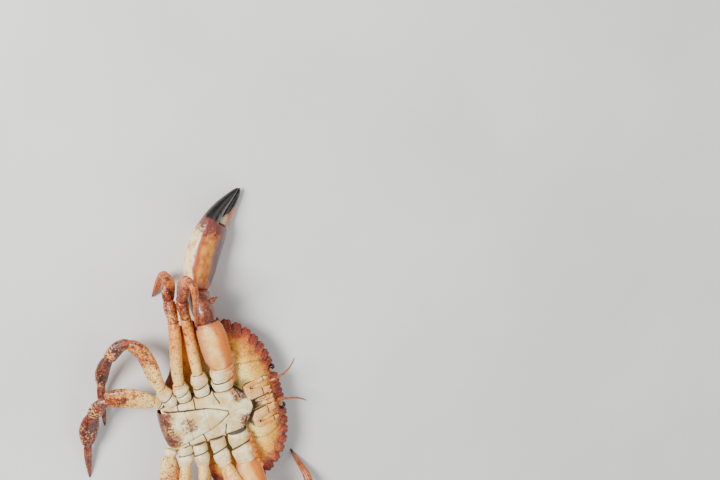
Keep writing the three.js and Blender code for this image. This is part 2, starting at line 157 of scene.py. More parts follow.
WAVE_TURNS = (
    (1.0, 0.31, 0.57), (-0.43, 1.0, 0.37), (0.29, -0.61, 1.0), (0.83, 0.71, -0.53), (-0.77, 0.45, 0.91),
)  # fmt: skip


def ripple(points: Array, size: float, seed: float = 0.0) -> Array:
    """Returns a repeatable soft lumpiness between -1 and 1.

    Args:
        points: Places in millimetres, one to a row.
        size: Breadth of a lump in millimetres.
        seed: Shifts the pattern.

    Returns:
        One value for each place.
    """
    total = np.zeros(points.shape[:-1])
    for k, turn in enumerate(WAVE_TURNS):
        phase = points @ (np.array(turn) * math.pi / size) * (1 + 0.17 * k) + seed * (1.7 + k)
        total += np.sin(phase + 1.3 * np.sin(0.61 * phase + k))
    return total / len(WAVE_TURNS)


def add_object(name: str, data: bpy.types.ID | None) -> bpy.types.Object:
    """Puts a new object with its data into the scene."""
    made = bpy.data.objects.new(name, data)
    bpy.context.scene.collection.objects.link(made)
    return made


@dataclass
class Skin:
    """A surface in millimetres with marks on its points.

    Attributes:
        points: Places, one to a row.
        faces: Corner numbers of each face.
        marks: Named values, one for each point.
    """

    points: Array
    faces: list[tuple[int, ...]]
    marks: dict[str, Array] = field(default_factory=dict)

    def with_skin(self, other: "Skin") -> "Skin":
        """Returns this surface and another as one.

        Args:
            other: The surface to add.

        Returns:
            Both surfaces; a mark that only one has is 0 on the other.
        """
        shift = len(self.points)
        faces = self.faces + [tuple(i + shift for i in f) for f in other.faces]
        marks = {}
        for name in {**self.marks, **other.marks}:
            mine = self.marks.get(name, np.zeros(len(self.points)))
            theirs = other.marks.get(name, np.zeros(len(other.points)))
            marks[name] = np.concatenate([mine, theirs])
        return Skin(np.concatenate([self.points, other.points]), faces, marks)

    def even(self, value: float) -> Array:
        """Returns a mark of one value for every point."""
        return np.full(len(self.points), value)

    def on_floor(self) -> "Skin":
        """Presses whatever is below the floor up to it, and returns the surface."""
        self.points[:, 2] = np.maximum(self.points[:, 2], 0.0)
        return self

    def as_mesh(self, name: str) -> bpy.types.Mesh:
        """Builds a smooth-shaded mesh, in metres, that carries the marks.

        Args:
            name: Name of the mesh.

        Returns:
            The new mesh.
        """
        mesh = bpy.data.meshes.new(name)
        mesh.from_pydata((self.points * MM).tolist(), [], self.faces)
        for key, values in self.marks.items():
            layer = mesh.attributes.new(key, "FLOAT", "POINT")
            layer.data.foreach_set("value", np.asarray(values, dtype=np.float32))
        mesh.shade_smooth()
        mesh.update()
        return mesh

    def fused(self, voxel: float, passes: int) -> "Skin":
        """Melts overlapping bodies into one even skin and carries the marks over.

        Args:
            voxel: Size of the new mesh's cells in millimetres.
            passes: How often the result is smoothed.

        Returns:
            The fused surface.
        """
        piece = add_object("melt", self.as_mesh("melt"))
        melt = piece.modifiers.new("melt", "REMESH")
        melt.mode = "VOXEL"
        melt.voxel_size = voxel * MM
        even = piece.modifiers.new("even", "SMOOTH")
        even.factor = 0.5
        even.iterations = passes
        graph = bpy.context.evaluated_depsgraph_get()
        made = piece.evaluated_get(graph).to_mesh()
        points = np.array([v.co[:] for v in made.vertices]) / MM
        faces = [tuple(p.vertices) for p in made.polygons]
        bpy.data.objects.remove(piece)
        tree = KDTree(len(self.points))
        for i, p in enumerate(self.points):
            tree.insert(p, i)
        tree.balance()
        neighbours = 4
        near = np.array([[hit[1] for hit in tree.find_n(p, neighbours)] for p in points])
        marks = {name: values[near].mean(axis=1) for name, values in self.marks.items()}
        return Skin(points, faces, marks)


def loft(rings: Array, marks: dict[str, Array]) -> Skin:
    """Joins closed rings into a skin with both ends shut.

    Args:
        rings: Array of rings by points by three.
        marks: Named values, one for each ring point or ones that spread to them.

    Returns:
        The closed surface.
    """
    count, around = rings.shape[:2]
    ring = np.arange(around)
    faces = []
    for r in range(count - 1):
        a = r * around + ring
        b = r * around + (ring + 1) % around
        faces += list(zip(a.tolist(), b.tolist(), (b + around).tolist(), (a + around).tolist()))
    points = np.concatenate([rings.reshape(-1, 3), rings[[0, -1]].mean(axis=1)])
    first, last = count * around, count * around + 1
    top = (count - 1) * around
    faces += [(int((k + 1) % around), int(k), first) for k in ring]
    faces += [(int(top + k), int(top + (k + 1) % around), last) for k in ring]
    spread = {name: np.broadcast_to(v, (count, around)) for name, v in marks.items()}
    filled = {name: np.append(v.reshape(-1), [v[0].mean(), v[-1].mean()]) for name, v in spread.items()}
    corner = points[np.array([f[:3] for f in faces])] - points.mean(axis=0)
    if np.einsum("ij,ij->i", corner[:, 0], np.cross(corner[:, 1], corner[:, 2])).sum() < 0:
        faces = [tuple(reversed(f)) for f in faces]
    return Skin(points, faces, filled)


Value = Union["Wire", float, str, tuple]


class Wire:
    """A shader socket that can be used in arithmetic."""

    def __init__(self, graph: "Graph", socket: bpy.types.NodeSocket) -> None:
        """Keeps the socket and the graph it belongs to."""
        self.graph = graph
        self.socket = socket

    def _math(self, operation: str, first: Value, second: Value) -> "Wire":
        """Adds one Math node and returns its result."""
        return self.graph.node("ShaderNodeMath", {"operation": operation}, {0: first, 1: second})

    def __add__(self, other: Value) -> "Wire":
        """Returns self + other."""
        return self._math("ADD", self, other)

    __radd__ = __add__

    def __sub__(self, other: Value) -> "Wire":
        """Returns self - other."""
        return self._math("SUBTRACT", self, other)

    def __rsub__(self, other: Value) -> "Wire":
        """Returns other - self."""
        return self._math("SUBTRACT", other, self)

    def __mul__(self, other: Value) -> "Wire":
        """Returns self * other."""
        return self._math("MULTIPLY", self, other)

    __rmul__ = __mul__

    def rise(self, low: float, high: float) -> "Wire":
        """Returns 0 below low, 1 above high and a smooth step between."""
        inputs = {"Value": self, "From Min": low, "From Max": high}
        return self.graph.node("ShaderNodeMapRange", {"interpolation_type": "SMOOTHSTEP"}, inputs)


class Graph:
    """One material's node graph; a colour may be given as six hexadecimal digits."""

    def __init__(self, name: str) -> None:
        """Starts an empty material of this name."""
        self.material = bpy.data.materials.new(name)
        self.material.use_nodes = True
        self.tree = self.material.node_tree
        self.tree.nodes.clear()

    def node(self, kind: str, settings: dict, inputs: dict, out: int | str = 0) -> Wire:
        """Adds a node.

        Args:
            kind: Blender's name for the node type.
            settings: Properties set before the sockets.
            inputs: Socket names or numbers with their values or wires.
            out: Which output to return.

        Returns:
            The chosen output.
        """
        made = self.tree.nodes.new(kind)
        for key, value in settings.items():
            setattr(made, key, value)
        for key, value in inputs.items():
            if isinstance(value, Wire):
                self.tree.links.new(value.socket, made.inputs[key])
            else:
                made.inputs[key].default_value = paint(value) if isinstance(value, str) else value
        return Wire(self, made.outputs[out] if made.outputs else made.inputs[0])

    def mark(self, name: str) -> Wire:
        """Returns a mark carried by the mesh's points."""
        return self.node("ShaderNodeAttribute", {"attribute_name": name}, {}, "Fac")

    def place(self, shift: float) -> Wire:
        """Returns the place on the object in metres, slid by a shift in millimetres."""
        here = self.node("ShaderNodeTexCoord", {}, {}, "Object")
        return self.node("ShaderNodeVectorMath", {"operation": "ADD"}, {0: here, 1: (shift * MM,) * 3})

    def noise(self, size: float, detail: float = 2.0, shift: float = 0.0, rough: float = 0.5) -> Wire:
        """Adds cloudy noise.

        Args:
            size: Breadth of a cloud in millimetres.
            detail: How many finer layers it has.
            shift: Slides the pattern, in millimetres.
            rough: How strong the finer layers are.

        Returns:
            A value around 0.5.
        """
        inputs = {"Vector": self.place(shift), "Scale": 1 / (size * MM), "Detail": detail, "Roughness": rough}
        return self.node("ShaderNodeTexNoise", {}, inputs)

    def wander(self, size: float, reach: float, detail: float = 2.0, shift: float = 0.0) -> Wire:
        """Returns noise around 0, of this reach, that frays the edge of a mark."""
        return (self.noise(size, detail, shift) - 0.5) * reach

    def cells(self, size: float, shift: float = 0.0) -> Wire:
        """Adds the distance to scattered points.

        Args:
            size: Spacing of the points in millimetres.
            shift: Slides the pattern, in millimetres.

        Returns:
            0 at a point, rising to about 0.7 between them.
        """
        inputs = {"Vector": self.place(shift), "Scale": 1 / (size * MM)}
        return self.node("ShaderNodeTexVoronoi", {}, inputs, "Distance")

    def mix(self, under: Value, over: Value, cover: Value) -> Wire:
        """Lays one colour over another by a cover from 0 to 1."""
        settings = {"data_type": "RGBA", "clamp_factor": True}
        return self.node("ShaderNodeMix", settings, {0: cover, 6: under, 7: over}, 2)

    def layers(self, ground: Value, *coats: tuple[Value, Value]) -> Wire:
        """Lays colours over one another.

        Args:
            ground: The lowest colour.
            coats: Each colour with its cover, from the lowest up.

        Returns:
            The mixed colour.
        """
        for colour, cover in coats:
            ground = self.mix(ground, colour, cover)
        return ground

    def freckles(self, size: float, cover: Value, shift: float = 0.0, edge: float = 0.035) -> Wire:
        """Adds ragged spots that crowd together as cover rises.

        Args:
            size: Breadth of a spot in millimetres.
            cover: Share of the surface they take, from 0 to 1.
            shift: Slides the pattern, in millimetres.
            edge: Softness of the spots' edges.

        Returns:
            1 on a spot and 0 between.
        """
        level = 0.71
        lumps = self.noise(size, 2.5, shift, 0.6) + self.wander(size * 4.5, 0.35, 1.0, shift + 31)
        return (lumps + cover * 0.42).rise(level - edge, level + edge)

    def dots(self, spacing: float, size: Value, shift: float = 0.0) -> Wire:
        """Adds small ragged dots that grow and crowd with size.

        Args:
            spacing: Distance between dots in millimetres.
            size: Radius of a dot as a share of the spacing.
            shift: Slides the pattern, in millimetres.

        Returns:
            1 on a dot and 0 between.
        """
        ragged = self.cells(spacing, shift) + self.wander(spacing * 0.6, 1.1, 3.0, shift)
        crowd = self.wander(spacing * 5, 1.2, 3.0, shift + 13)
        return (size - ragged + crowd).rise(-0.05, 0.07)

    def ripples(self, along: Wire, count: float) -> Wire:
        """Turns a mark into a number of waves from 0 to 1."""
        turned = along * (2 * math.pi * count)
        return self.node("ShaderNodeMath", {"operation": "SINE"}, {0: turned}) * 0.5 + 0.5

    def pebbles(self, size: float, shift: float, fine: float, fine_shift: float) -> Wire:
        """Returns the relief of small pebbles with a finer grain on them."""
        return self.cells(size, shift).rise(0.0, 0.6) * 0.5 + self.noise(fine, 2.0, fine_shift) * 0.5

    def shine(
        self, colour: Wire, roughness: Value, height: Value, depth: float, coat: float = 0.0
    ) -> bpy.types.Material:
        """Ends the graph in a glossy shader.

        Args:
            colour: The surface colour.
            roughness: How matt it is.
            height: Fine relief, from 0 to 1.
            depth: Depth of that relief in millimetres.
            coat: Weight of a clear glaze.

        Returns:
            The finished material.
        """
        relief = {"Strength": 1.0, "Distance": depth * MM, "Height": height}
        inputs = {
            "Base Color": colour,
            "Roughness": roughness,
            "Normal": self.node("ShaderNodeBump", {}, relief, "Normal"),
            "Coat Weight": coat,
            "Coat Roughness": 0.12,
            "Specular IOR Level": 0.5,
        }
        shader = self.node("ShaderNodeBsdfPrincipled", {}, inputs, "BSDF")
        self.node("ShaderNodeOutputMaterial", {}, {"Surface": shader})
        return self.material


class Slot(Enum):
    """The record's material slots."""

    SHELL = "shell"
    BELLY = "belly"
    LIMB = "limb"
    LIMB_END = "limb_end"
    CLAW = "claw"
    CLAW_TIP = "claw_tip"
    EYE = "eye"
    FEELER = "feeler"


CREAM = "F5E8B4"
DARK_SEAM_AND_SHADE = "2C1B12"
MEMBRANE = "7A5138"
WINE = "3A1014"
ORANGE = "E8880E"
LUMP_ORANGE = "D86A06"


@dataclass(frozen=True)
class BellyFinish:
    """Smooth pale plates with dark seams and painted shade.

    Attributes:
        name: Name of the material.
        pale: The main colour.
        warm: A warmer colour that drifts over it.
        blotch: Colour of the blotches.
    """

    name: str
    pale: str = CREAM
    warm: str = "DDB364"
    blotch: str = "8F3A20"

    def make(self) -> bpy.types.Material:
        """Builds the material: drifts of warm tone, blotches where marked, dark seams and painted shade."""
        g = Graph(self.name)
        stained = g.mark("blotch")
        spotted = stained.rise(0.05, 0.3)
        colour = g.layers(
            self.pale,
            (self.warm, g.noise(11, 3.0).rise(0.4, 0.62) * 0.8),
            ("A9A378", g.noise(4, 4.0, 17).rise(0.48, 0.7) * 0.45),
            ("D27E34", stained.rise(0.1, 0.9) * g.noise(5, 3.0, 29).rise(0.35, 0.6) * 0.75),
            (self.blotch, g.freckles(2.6, stained, 5, 0.12) * spotted * 0.85),
            (WINE, g.freckles(1.6, stained * 0.85, 9, 0.1) * spotted * 0.8),
            (ORANGE, g.mark("edge") * g.noise(5, 2.0, 3).rise(0.25, 0.55) * 0.85),
            (LUMP_ORANGE, g.mark("lump") * g.noise(3, 2.0, 88).rise(0.2, 0.5)),
            # the seam mark holds dark seams and, on the jaws and at the foot of each limb base, painted shade
            (DARK_SEAM_AND_SHADE, g.mark("seam").rise(0.12, 0.7) * 0.95),
            (MEMBRANE, g.mark("soft")),
        )
        relief = g.noise(0.9, 3.0, 2) * 0.4 + g.noise(3.0, 3.0, 8) * 0.6
        rough = 0.34 + g.noise(7, 2.0, 40) * 0.2 + g.mark("seam") * 0.35
        return g.shine(colour, rough, relief, 0.35, 0.2)


@dataclass(frozen=True)
class SpeckleFinish:
    """Limb shell that is pale near the body and speckled towards the tip.

    Attributes:
        name: Name of the material.
        near: Ground colour at the end near the body.
        far: Ground colour at the far end.
        cover: Speckle cover at the near and at the far end.
        size: Breadth of a speckle in millimetres.
        tip_from: Share of the length where the tip colour starts; above 1 there is none.
        spot: Colour of the speckles.
        deep: Colour of the crowded speckles.
        light: Colour of the pale specks between them.
        tip: Colour of the far tip.
    """

    name: str
    near: str
    far: str
    cover: tuple[float, float]
    size: float = 1.0
    tip_from: float = 2.0
    spot: str = "9A3A14"
    deep: str = "340C12"
    light: str = "F2B060"
    tip: str = "24140F"

    def make(self) -> bpy.types.Material:
        """Builds the material: ground that warms along the piece, speckles of several sizes, joint skin."""
        g = Graph(self.name)
        along = g.mark("along") + g.wander(9, 0.5)
        crest = g.mark("flank") * 0.5 + 0.5
        start, end = self.cover
        cover = (along.rise(0.0, 1.0) * (end - start) + start) * g.mark("dust")
        cloud = g.noise(self.size * 4.0, 4.0, 77, 0.65) + (cover - 0.5) * 0.34
        colour = g.layers(
            self.near,
            (self.far, along.rise(0.05, 0.95)),
            (ORANGE, crest.rise(0.35, 1.0) * g.noise(6, 2.0, 60).rise(0.3, 0.6) * 0.75),
            (self.spot, cloud.rise(0.46, 0.6) * 0.7),
            (self.deep, cloud.rise(0.58, 0.68) * 0.9),
            (self.spot, g.dots(self.size * 1.7, cover * 0.4 + 0.06, 31) * 0.9),
            (self.deep, g.dots(self.size * 1.1, cover * 0.5, 11) * 0.85),
            (self.light, g.dots(self.size * 1.4, cover * 0.3, 140) * along.rise(0.0, 0.7) * 0.75),
            (self.tip, g.mark("along").rise(self.tip_from, self.tip_from + 0.12)),
            (MEMBRANE, g.mark("soft")),
        )
        return g.shine(colour, 0.36 + g.noise(4, 2.0, 50) * 0.2, g.pebbles(1.3, 4, 0.8, 21), 0.25, 0.2)


@dataclass(frozen=True)
class ShellFinish:
    """The great shell: cream by the mouth, orange outward, red lobes, brick-red back, with painted highlights on its
    granules and painted shade in its hollows.

    Attributes:
        name: Name of the material.
    """

    name: str = "grained_shell"

    def make(self) -> bpy.types.Material:
        """Builds the material from the distance to the edge and the side that faces out."""
        g = Graph(self.name)
        rim = g.mark("rim") + g.wander(6, 0.2, 4.0)
        granules_and_highlight = 1 - g.cells(1.5, 3).rise(0.12, 0.42)
        rust = g.layers(
            "84321D",
            ("A9502C", g.noise(12, 4.0, 7).rise(0.35, 0.7)),
            ("4E1C14", g.freckles(2.6, 0.55, 15) * 0.7),
            ("D79B5A", g.freckles(1.2, 0.25, 25) * 0.6),
        )
        colour = g.layers(
            "FFE484",
            ("FFB030", rim.rise(0.46, 0.78)),
            ("E86C0C", rim.rise(0.78, 0.92)),
            ("84200A", rim.rise(0.87, 0.97)),
            # painted highlight: a paler colour on the granule tops
            ("F6C868", granules_and_highlight * g.noise(10, 2.0, 12).rise(0.3, 0.6) * 0.7),
            ("7E1E0A", g.freckles(1.5, rim.rise(0.5, 1.0) * 0.5, 44, 0.09) * 0.65),
            ("8E5A14", g.dots(1.4, 0.1, 90) * 0.5),
            ("5A2430", g.noise(16, 3.0, 130).rise(0.52, 0.68) * rim.rise(0.7, 0.95) * 0.7),
            # painted shade: dark brown in the mouth hollow, the throat groove and between the hips
            ("6B3C20", g.mark("shade") * 0.75),
            (rust, g.mark("back")),
            # the seam mark holds the cheek seams and painted shade in the notches between the teeth
            (DARK_SEAM_AND_SHADE, g.mark("seam")),
        )
        relief = granules_and_highlight * 0.7 + g.noise(0.6, 2.0, 30) * 0.3
        return g.shine(colour, 0.42 + g.noise(5, 2.0, 70) * 0.2, relief, 0.8, 0.12)


@dataclass(frozen=True)
class ClawArmFinish:
    """The claw's arm: creamy with an orange edge and painted shade in rose-brown on the side away from its upper edge.

    Attributes:
        name: Name of the material.
        dark: How far the dark wrist colour covers, from 0 to 1.
    """

    name: str
    dark: float = 0.0

    def make(self) -> bpy.types.Material:
        """Builds the material from the marks along and round the arm."""
        g = Graph(self.name)
        upper = g.mark("upper") + g.wander(8, 0.5)
        far = g.mark("along") + g.wander(5, 0.4, 2.0, 19)
        ruddy = g.mix("9E4A22", "561E2A", g.noise(5, 4.0, 33).rise(0.4, 0.6))
        colour = g.layers(
            "F6CB7C",
            ("EC9A34", g.noise(11, 3.0, 6).rise(0.38, 0.6) * 0.7),
            ("D66E02", upper.rise(0.2, 0.62)),
            # painted shade: rose-brown on the side away from the upper edge
            ("B87854", (0 - upper).rise(0.2, 0.8) * 0.85),
            ("C4602C", far.rise(0.78, 1.0) * 0.75),
            (ruddy, self.dark * g.noise(6, 3.0, 5).rise(0.15, 0.5)),
            ("3E1218", g.freckles(1.7, self.dark * 0.7, 61, 0.1) * 0.75),
            ("9A4A28", g.dots(1.6, 0.1, 55) * 0.7),
            (LUMP_ORANGE, g.mark("lump") * 0.85),
            (MEMBRANE, g.mark("soft")),
        )
        return g.shine(colour, 0.3 + g.noise(6, 2.0, 23) * 0.22, g.pebbles(1.7, 14, 0.9, 3), 0.18, 0.3)


def black_horn(g: Graph) -> Wire:
    """Returns the clouded black of the fingers."""
    return g.mix("1C1614", "0A0808", g.noise(3, 3.0, 13).rise(0.35, 0.65))


@dataclass(frozen=True)
class HandFinish:
    """The claw's hand: cream lower edge, ridge line, orange field, wine band and black finger.

    Attributes:
        name: Name of the material.
    """

    name: str = "claw_hand"

    def make(self) -> bpy.types.Material:
        """Builds the material from the marks along and round the hand."""
        g = Graph(self.name)
        across = g.mark("across") + g.wander(7, 0.22, 3.0)
        along = g.mark("along") + g.wander(6, 0.12, 3.0, 8)
        horn = (g.mark("horn") + g.wander(4, 0.12, 2.0, 9)).rise(0.14, 0.2)
        field_colour = g.mix("E89A30", "B05814", g.noise(6, 4.0, 4).rise(0.35, 0.65))
        pale = g.mix("F3DA9C", "C9904E", g.noise(7, 4.0, 64).rise(0.42, 0.68))
        stripe = across.rise(-0.4, -0.3) * (1 - across.rise(-0.24, -0.02))
        waves = g.ripples(along, 36) * across.rise(-0.3, 0.1) * (1 - across.rise(0.5, 0.8))
        band = along.rise(0.76, 0.95)
        colour = g.layers(
            pale,
            (field_colour, across.rise(-0.36, -0.2)),
            ("9E4220", stripe * g.noise(5, 2.0, 66).rise(0.2, 0.5) * 0.95),
            ("A94A1F", g.dots(1.7, across.rise(-0.3, 0.9) * 0.36 - 0.05, 35) * 0.75),
            ("B9672C", waves * 0.35),
            ("8A3A1E", across.rise(0.5, 0.8) * 0.9),
            ("45202C", across.rise(0.72, 0.96)),
            ("B5573F", (1 - along).rise(0.84, 0.97) * 0.8),
            ("A8481F", band * 0.7),
            ("5E1A20", g.freckles(3.0, band * 0.95, 3, 0.07) * 0.85),
            (black_horn(g), horn),
            (MEMBRANE, g.mark("soft")),
        )
        relief = waves * 0.4 + g.cells(1.5, 24).rise(0.0, 0.6) * 0.3 + g.noise(1.0, 3.0, 31) * 0.3
        return g.shine(colour, 0.3 + g.noise(5, 2.0, 29) * 0.2 - horn * 0.14, relief, 0.2, 0.3)


@dataclass(frozen=True)
class HornFinish:
    """The moving finger: glossy black with a cream and brown root.

    Attributes:
        name: Name of the material.
    """

    name: str = "black_horn"

    def make(self) -> bpy.types.Material:
        """Builds the material; the black starts later on the finger's outer side."""
        g = Graph(self.name)
        across = g.mark("across") + g.wander(4, 0.4)
        line = g.mark("along") - across.rise(-0.1, 0.9) * 0.42 + g.wander(4, 0.12, 2.0, 8)
        colour = g.layers(
            "E8D9AE",
            ("B4652C", (across + g.mark("along") * 1.5).rise(0.3, 1.0)),
            ("6E2E1C", g.dots(1.5, 0.2, 2) * 0.7),
            (black_horn(g), line.rise(0.12, 0.22)),
            ("9A6A52", g.mark("along").rise(0.93, 1.0) * 0.5),
            (MEMBRANE, g.mark("soft")),
        )
        return g.shine(colour, 0.2 + g.noise(4, 2.0, 5) * 0.16, g.noise(1.1, 3.0, 31), 0.12, 0.45)


@dataclass(frozen=True)
class EyeFinish:
    """A ruddy stalk with a glossy black eye at its end.

    Attributes:
        name: Name of the material.
    """

    name: str = "eye_and_stalk"

    def make(self) -> bpy.types.Material:
        """Builds the material; it turns black and glossy along the stalk."""
        g = Graph(self.name)
        end = g.mark("along").rise(0.52, 0.58)
        stalk = g.mix("A3532F", "D9A874", g.noise(1.4, 2.0).rise(0.4, 0.65))
        colour = g.mix(stalk, g.mix("0D0B0B", "1E1512", g.noise(0.8, 2.0, 5)), end)
        return g.shine(colour, 0.42 - end * 0.36, g.noise(0.5, 2.0, 9) * (1 - end), 0.08, 0.4)


@dataclass(frozen=True)
class PlainFinish:
    """A finish of one cloudy colour with dark seams.

    Attributes:
        name: Name of the material.
        ground: The main colour.
        cloud: The colour that drifts over it.
        size: Breadth of a drift in millimetres.
        roughness: How matt it is.
        coat: Weight of a clear glaze.
    """

    name: str
    ground: str
    cloud: str
    size: float
    roughness: float
    coat: float = 0.2

    def make(self) -> bpy.types.Material:
        """Builds the material."""
        g = Graph(self.name)
        drift = g.noise(self.size, 3.0).rise(0.38, 0.64)
        colour = g.layers(self.ground, (self.cloud, drift), (DARK_SEAM_AND_SHADE, g.mark("seam")))
        rough = self.roughness + g.noise(self.size * 2, 2.0, 12) * 0.1
        return g.shine(colour, rough, g.noise(self.size * 0.3, 3.0, 5), 0.1, self.coat)


@dataclass
class Part:
    """A finished piece that stands for one node of the frame.

    Attributes:
        node: Name of the node it replaces.
        skin: Its surface.
        material: Its finish.
        slot: The record's slot that it belongs to.
    """

    node: str
    skin: Skin
    material: bpy.types.Material
    slot: Slot

    def set_up(self) -> bpy.types.Object:
        """Adds the piece to the scene and ties it to the frame.

        Returns:
            The new object.
        """
        name = f"{self.node}_skin"
        piece = add_object(name, self.skin.as_mesh(name))
        piece.data.materials.append(self.material)
        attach(piece, BODY)
        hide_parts(self.node)
        LOG.info("%s: %d faces, slot %s", name, len(self.skin.faces), self.slot.value)
        return piece


@dataclass
class Limb:
    """One tapered segment between two joint planes.

    Attributes:
        start: Middle of the near joint.
        end: Middle of the far joint.
        start_way: Facing of the near joint's plane.
        end_way: Facing of the far joint's plane.
        tall: The way its upper edge points.
        rows: Share of the length, half height and half thickness.
        rings: How many rings run along it.
        around: How many points run round it.
        square: Fullness of the section: 1 is an ellipse, less is fuller.
        ridges: Count and depth of the long ridges.
        lumps: Size and height of its lumps.
        lip: Depth of the groove behind the far lip.
        joint_skin: Whether soft skin bridges its near joint.
        rounded: How far the near end bulges back into its seat.
        paint_way: Direction of the across mark, if the piece has one.
        pull: Share of the length over which the middle line leaves a joint straight.
        worn: Share lost at an end's edge, and how far in that reaches.
        groove: How far the groove lies from the far end, and its half width.
        seat: Size and depth of the two rings that close an end.
        bulge: Angles of the two rings that close a rounded end.
        skin_reach: How far the joint skin reaches to either side.
    """

    start: Array
    end: Array
    start_way: Array
    end_way: Array
    tall: Array
    rows: Rows
    rings: int = 56
    around: int = 44
    square: float = 0.92
    ridges: tuple[int, float] = (0, 0.0)
    lumps: tuple[float, float] = (6.0, 0.12)
    lip: float = 0.25
    joint_skin: bool = True
    rounded: float = 0.0
    paint_way: Array | None = None
    pull: float = 0.36
    worn: tuple[float, float] = (0.05, 0.35)
    groove: tuple[float, float] = (2.2, 0.55)
    seat: Rows = ((0.84, 0.15), (0.7, 1.2))
    bulge: tuple[float, float] = (0.45, 1.1)
    skin_reach: float = 2.4

    def spine(self, share: Array) -> tuple[Array, Array]:
        """Returns places and unit directions along the middle line, at shares of the length."""
        pull = self.pull * float(np.linalg.norm(self.end - self.start))
        a = self.start + self.start_way * GAP / 2
        d = self.end - self.end_way * GAP / 2
        b = a + self.start_way * pull
        c = d - self.end_way * pull
        t = share[:, None]
        place = (1 - t) ** 3 * a + 3 * (1 - t) ** 2 * t * b + 3 * (1 - t) * t**2 * c + t**3 * d
        way = 3 * (1 - t) ** 2 * (b - a) + 6 * (1 - t) * t * (c - b) + 3 * t**2 * (d - c)
        return place, unit(way)

    def axes(self, way: Array) -> tuple[Array, Array]:
        """Returns the upper and the side direction across each direction given."""
        up = unit(self.tall - way * (way @ self.tall)[:, None])
        return up, np.cross(way, up)

    def relief(self, points: Array, share: Array, turn: Array, from_end: Array) -> Array:
        """Finds how far each point stands out.

        Args:
            points: The plain surface, ring by ring.
            share: Share of the length at each ring.
            turn: Angle of each point round the ring.
            from_end: Distance of each ring from the far end.

        Returns:
            The height over the plain surface.
        """
        middle = np.sin(math.pi * share)[:, None] ** 0.6
        depth = np.zeros(points.shape[:2])
        count, rise = self.ridges
        if count:
            depth -= rise * (0.5 - 0.5 * np.cos(count * turn))[None] ** 2 * middle
        size, height = self.lumps
        depth += height * (ripple(points, size) - 1) * 0.5 * middle
        back, width = self.groove
        return depth - self.lip * peak(from_end - back, width)[:, None]

    def closing(self, ring: Array, way: Array) -> list[Array]:
        """Returns the two rings that shut an end, the outer one first; the way points inward."""
        centre = ring.mean(axis=0)
        return [centre + (ring - centre) * size + way * depth for size, depth in self.seat]

    def build(self) -> Skin:
        """Makes the segment's surface.

        Returns:
            A closed surface with marks along, upper, flank and soft.
        """
        share = np.linspace(0, 1, self.rings)
        share = 0.5 - 0.5 * np.cos(math.pi * share) * (1 - 0.35 * np.sin(math.pi * share) ** 2)
        share = np.clip(share, 0, 1)
        place, way = self.spine(share)
        up, side = self.axes(way)
        high, thick = profile(self.rows, share)
        turn = circle(self.around)
        upper, flank = fuller(np.cos(turn), self.square), fuller(np.sin(turn), self.square)
        length = float(np.linalg.norm(self.end - self.start))
        from_start, from_end = share * length, (1 - share) * length
        loss, reach = self.worn
        scale = 1 - loss * np.exp(-from_start / reach) - loss * np.exp(-from_end / reach)
        offset = up[:, None] * (high * scale)[:, None, None] * upper[None, :, None]
        offset = offset + side[:, None] * (thick * scale)[:, None, None] * flank[None, :, None]
        points = place[:, None] + offset
        points = points + unit(offset) * self.relief(points, share, turn, from_end)[..., None]
        near, far = self.closing(points[0], way[0]), self.closing(points[-1], -way[-1])
        soft = np.concatenate([[1.0, 0.6], np.zeros(len(share)), [0.6, 1.0]])
        if self.rounded:
            centre = points[0].mean(axis=0)
            near = [
                centre + (points[0] - centre) * math.cos(turned) - way[0] * self.rounded * math.sin(turned)
                for turned in self.bulge
            ]
            soft[:2] = 0
        rings = np.concatenate([near[::-1], points, far])
        along = np.concatenate([[0, 0], share, [1, 1]])
        marks = {"along": along[:, None], "upper": upper[None], "flank": flank[None], "soft": soft[:, None]}
        if self.paint_way is not None:
            middle = np.concatenate([place[[0, 0]], place, place[[-1, -1]]])[:, None]
            marks["across"] = unit(rings - middle) @ self.paint_way
        skin = loft(rings, marks)
        if self.joint_skin:
            cross = up[:1] * (high[0] * np.cos(circle(28)))[:, None]
            cross = cross + side[:1] * (thick[0] * np.sin(circle(28)))[:, None]
            skin = skin.with_skin(self.bridge(place[0], way[0], cross))
        return skin

    def bridge(self, place: Array, way: Array, cross: Array) -> Skin:
        """Makes the soft skin that crosses the near joint.

        Args:
            place: Middle of the joint.
            way: Facing of the joint.
            cross: Outline of the segment there.

        Returns:
            A short wrinkled tube, marked soft.
        """
        reach = np.linspace(-self.skin_reach, self.skin_reach, 13)
        size = 0.76 + 0.03 * np.cos(reach * 5)
        rings = place + way * reach[:, None, None] + cross[None] * size[:, None, None]
        return loft(rings, {"soft": np.ones((1, 1))})


def stick(root: Array, tip: Array, rows: Rows, rings: int, around: int) -> Skin:
    """Makes a small straight limb without joint skin.

    Args:
        root: Middle of its root.
        tip: Middle of its tip.
        rows: Share of the length, half height and half thickness.
        rings: How many rings run along it.
        around: How many points run round it.

    Returns:
        A closed surface.
    """
    way = unit(tip - root)
    limb = Limb(root, tip, way, way, vec(0, 0, 1), rows, rings=rings, around=around, lip=0.0, joint_skin=False)
    return limb.build()


def spike(root: Array, tip: Array, radius: float) -> Skin:
    """Makes a stout spine from its sunk root to its point."""
    rows = [(0, radius, radius), (0.6, radius * 0.55, radius * 0.55), (1, 0.3, 0.3)]
    return stick(root, tip, rows, 16, 16)


def knob(centre: Array, radius: float, mark: dict[str, float]) -> Skin:
    """Makes a small round knob.

    Args:
        centre: Its middle.
        radius: Its radius.
        mark: Marks that it carries.

    Returns:
        A closed surface.
    """
    tilt = np.linspace(0.2, math.pi - 0.2, 8)[:, None]
    turn = circle(14)[None]
    x, y, z = np.sin(tilt) * np.cos(turn), np.sin(tilt) * np.sin(turn), np.cos(tilt) + 0 * turn
    rings = np.stack([x, y, z], axis=-1)
    return loft(centre + rings * radius, {name: np.full((1, 1), value) for name, value in mark.items()})


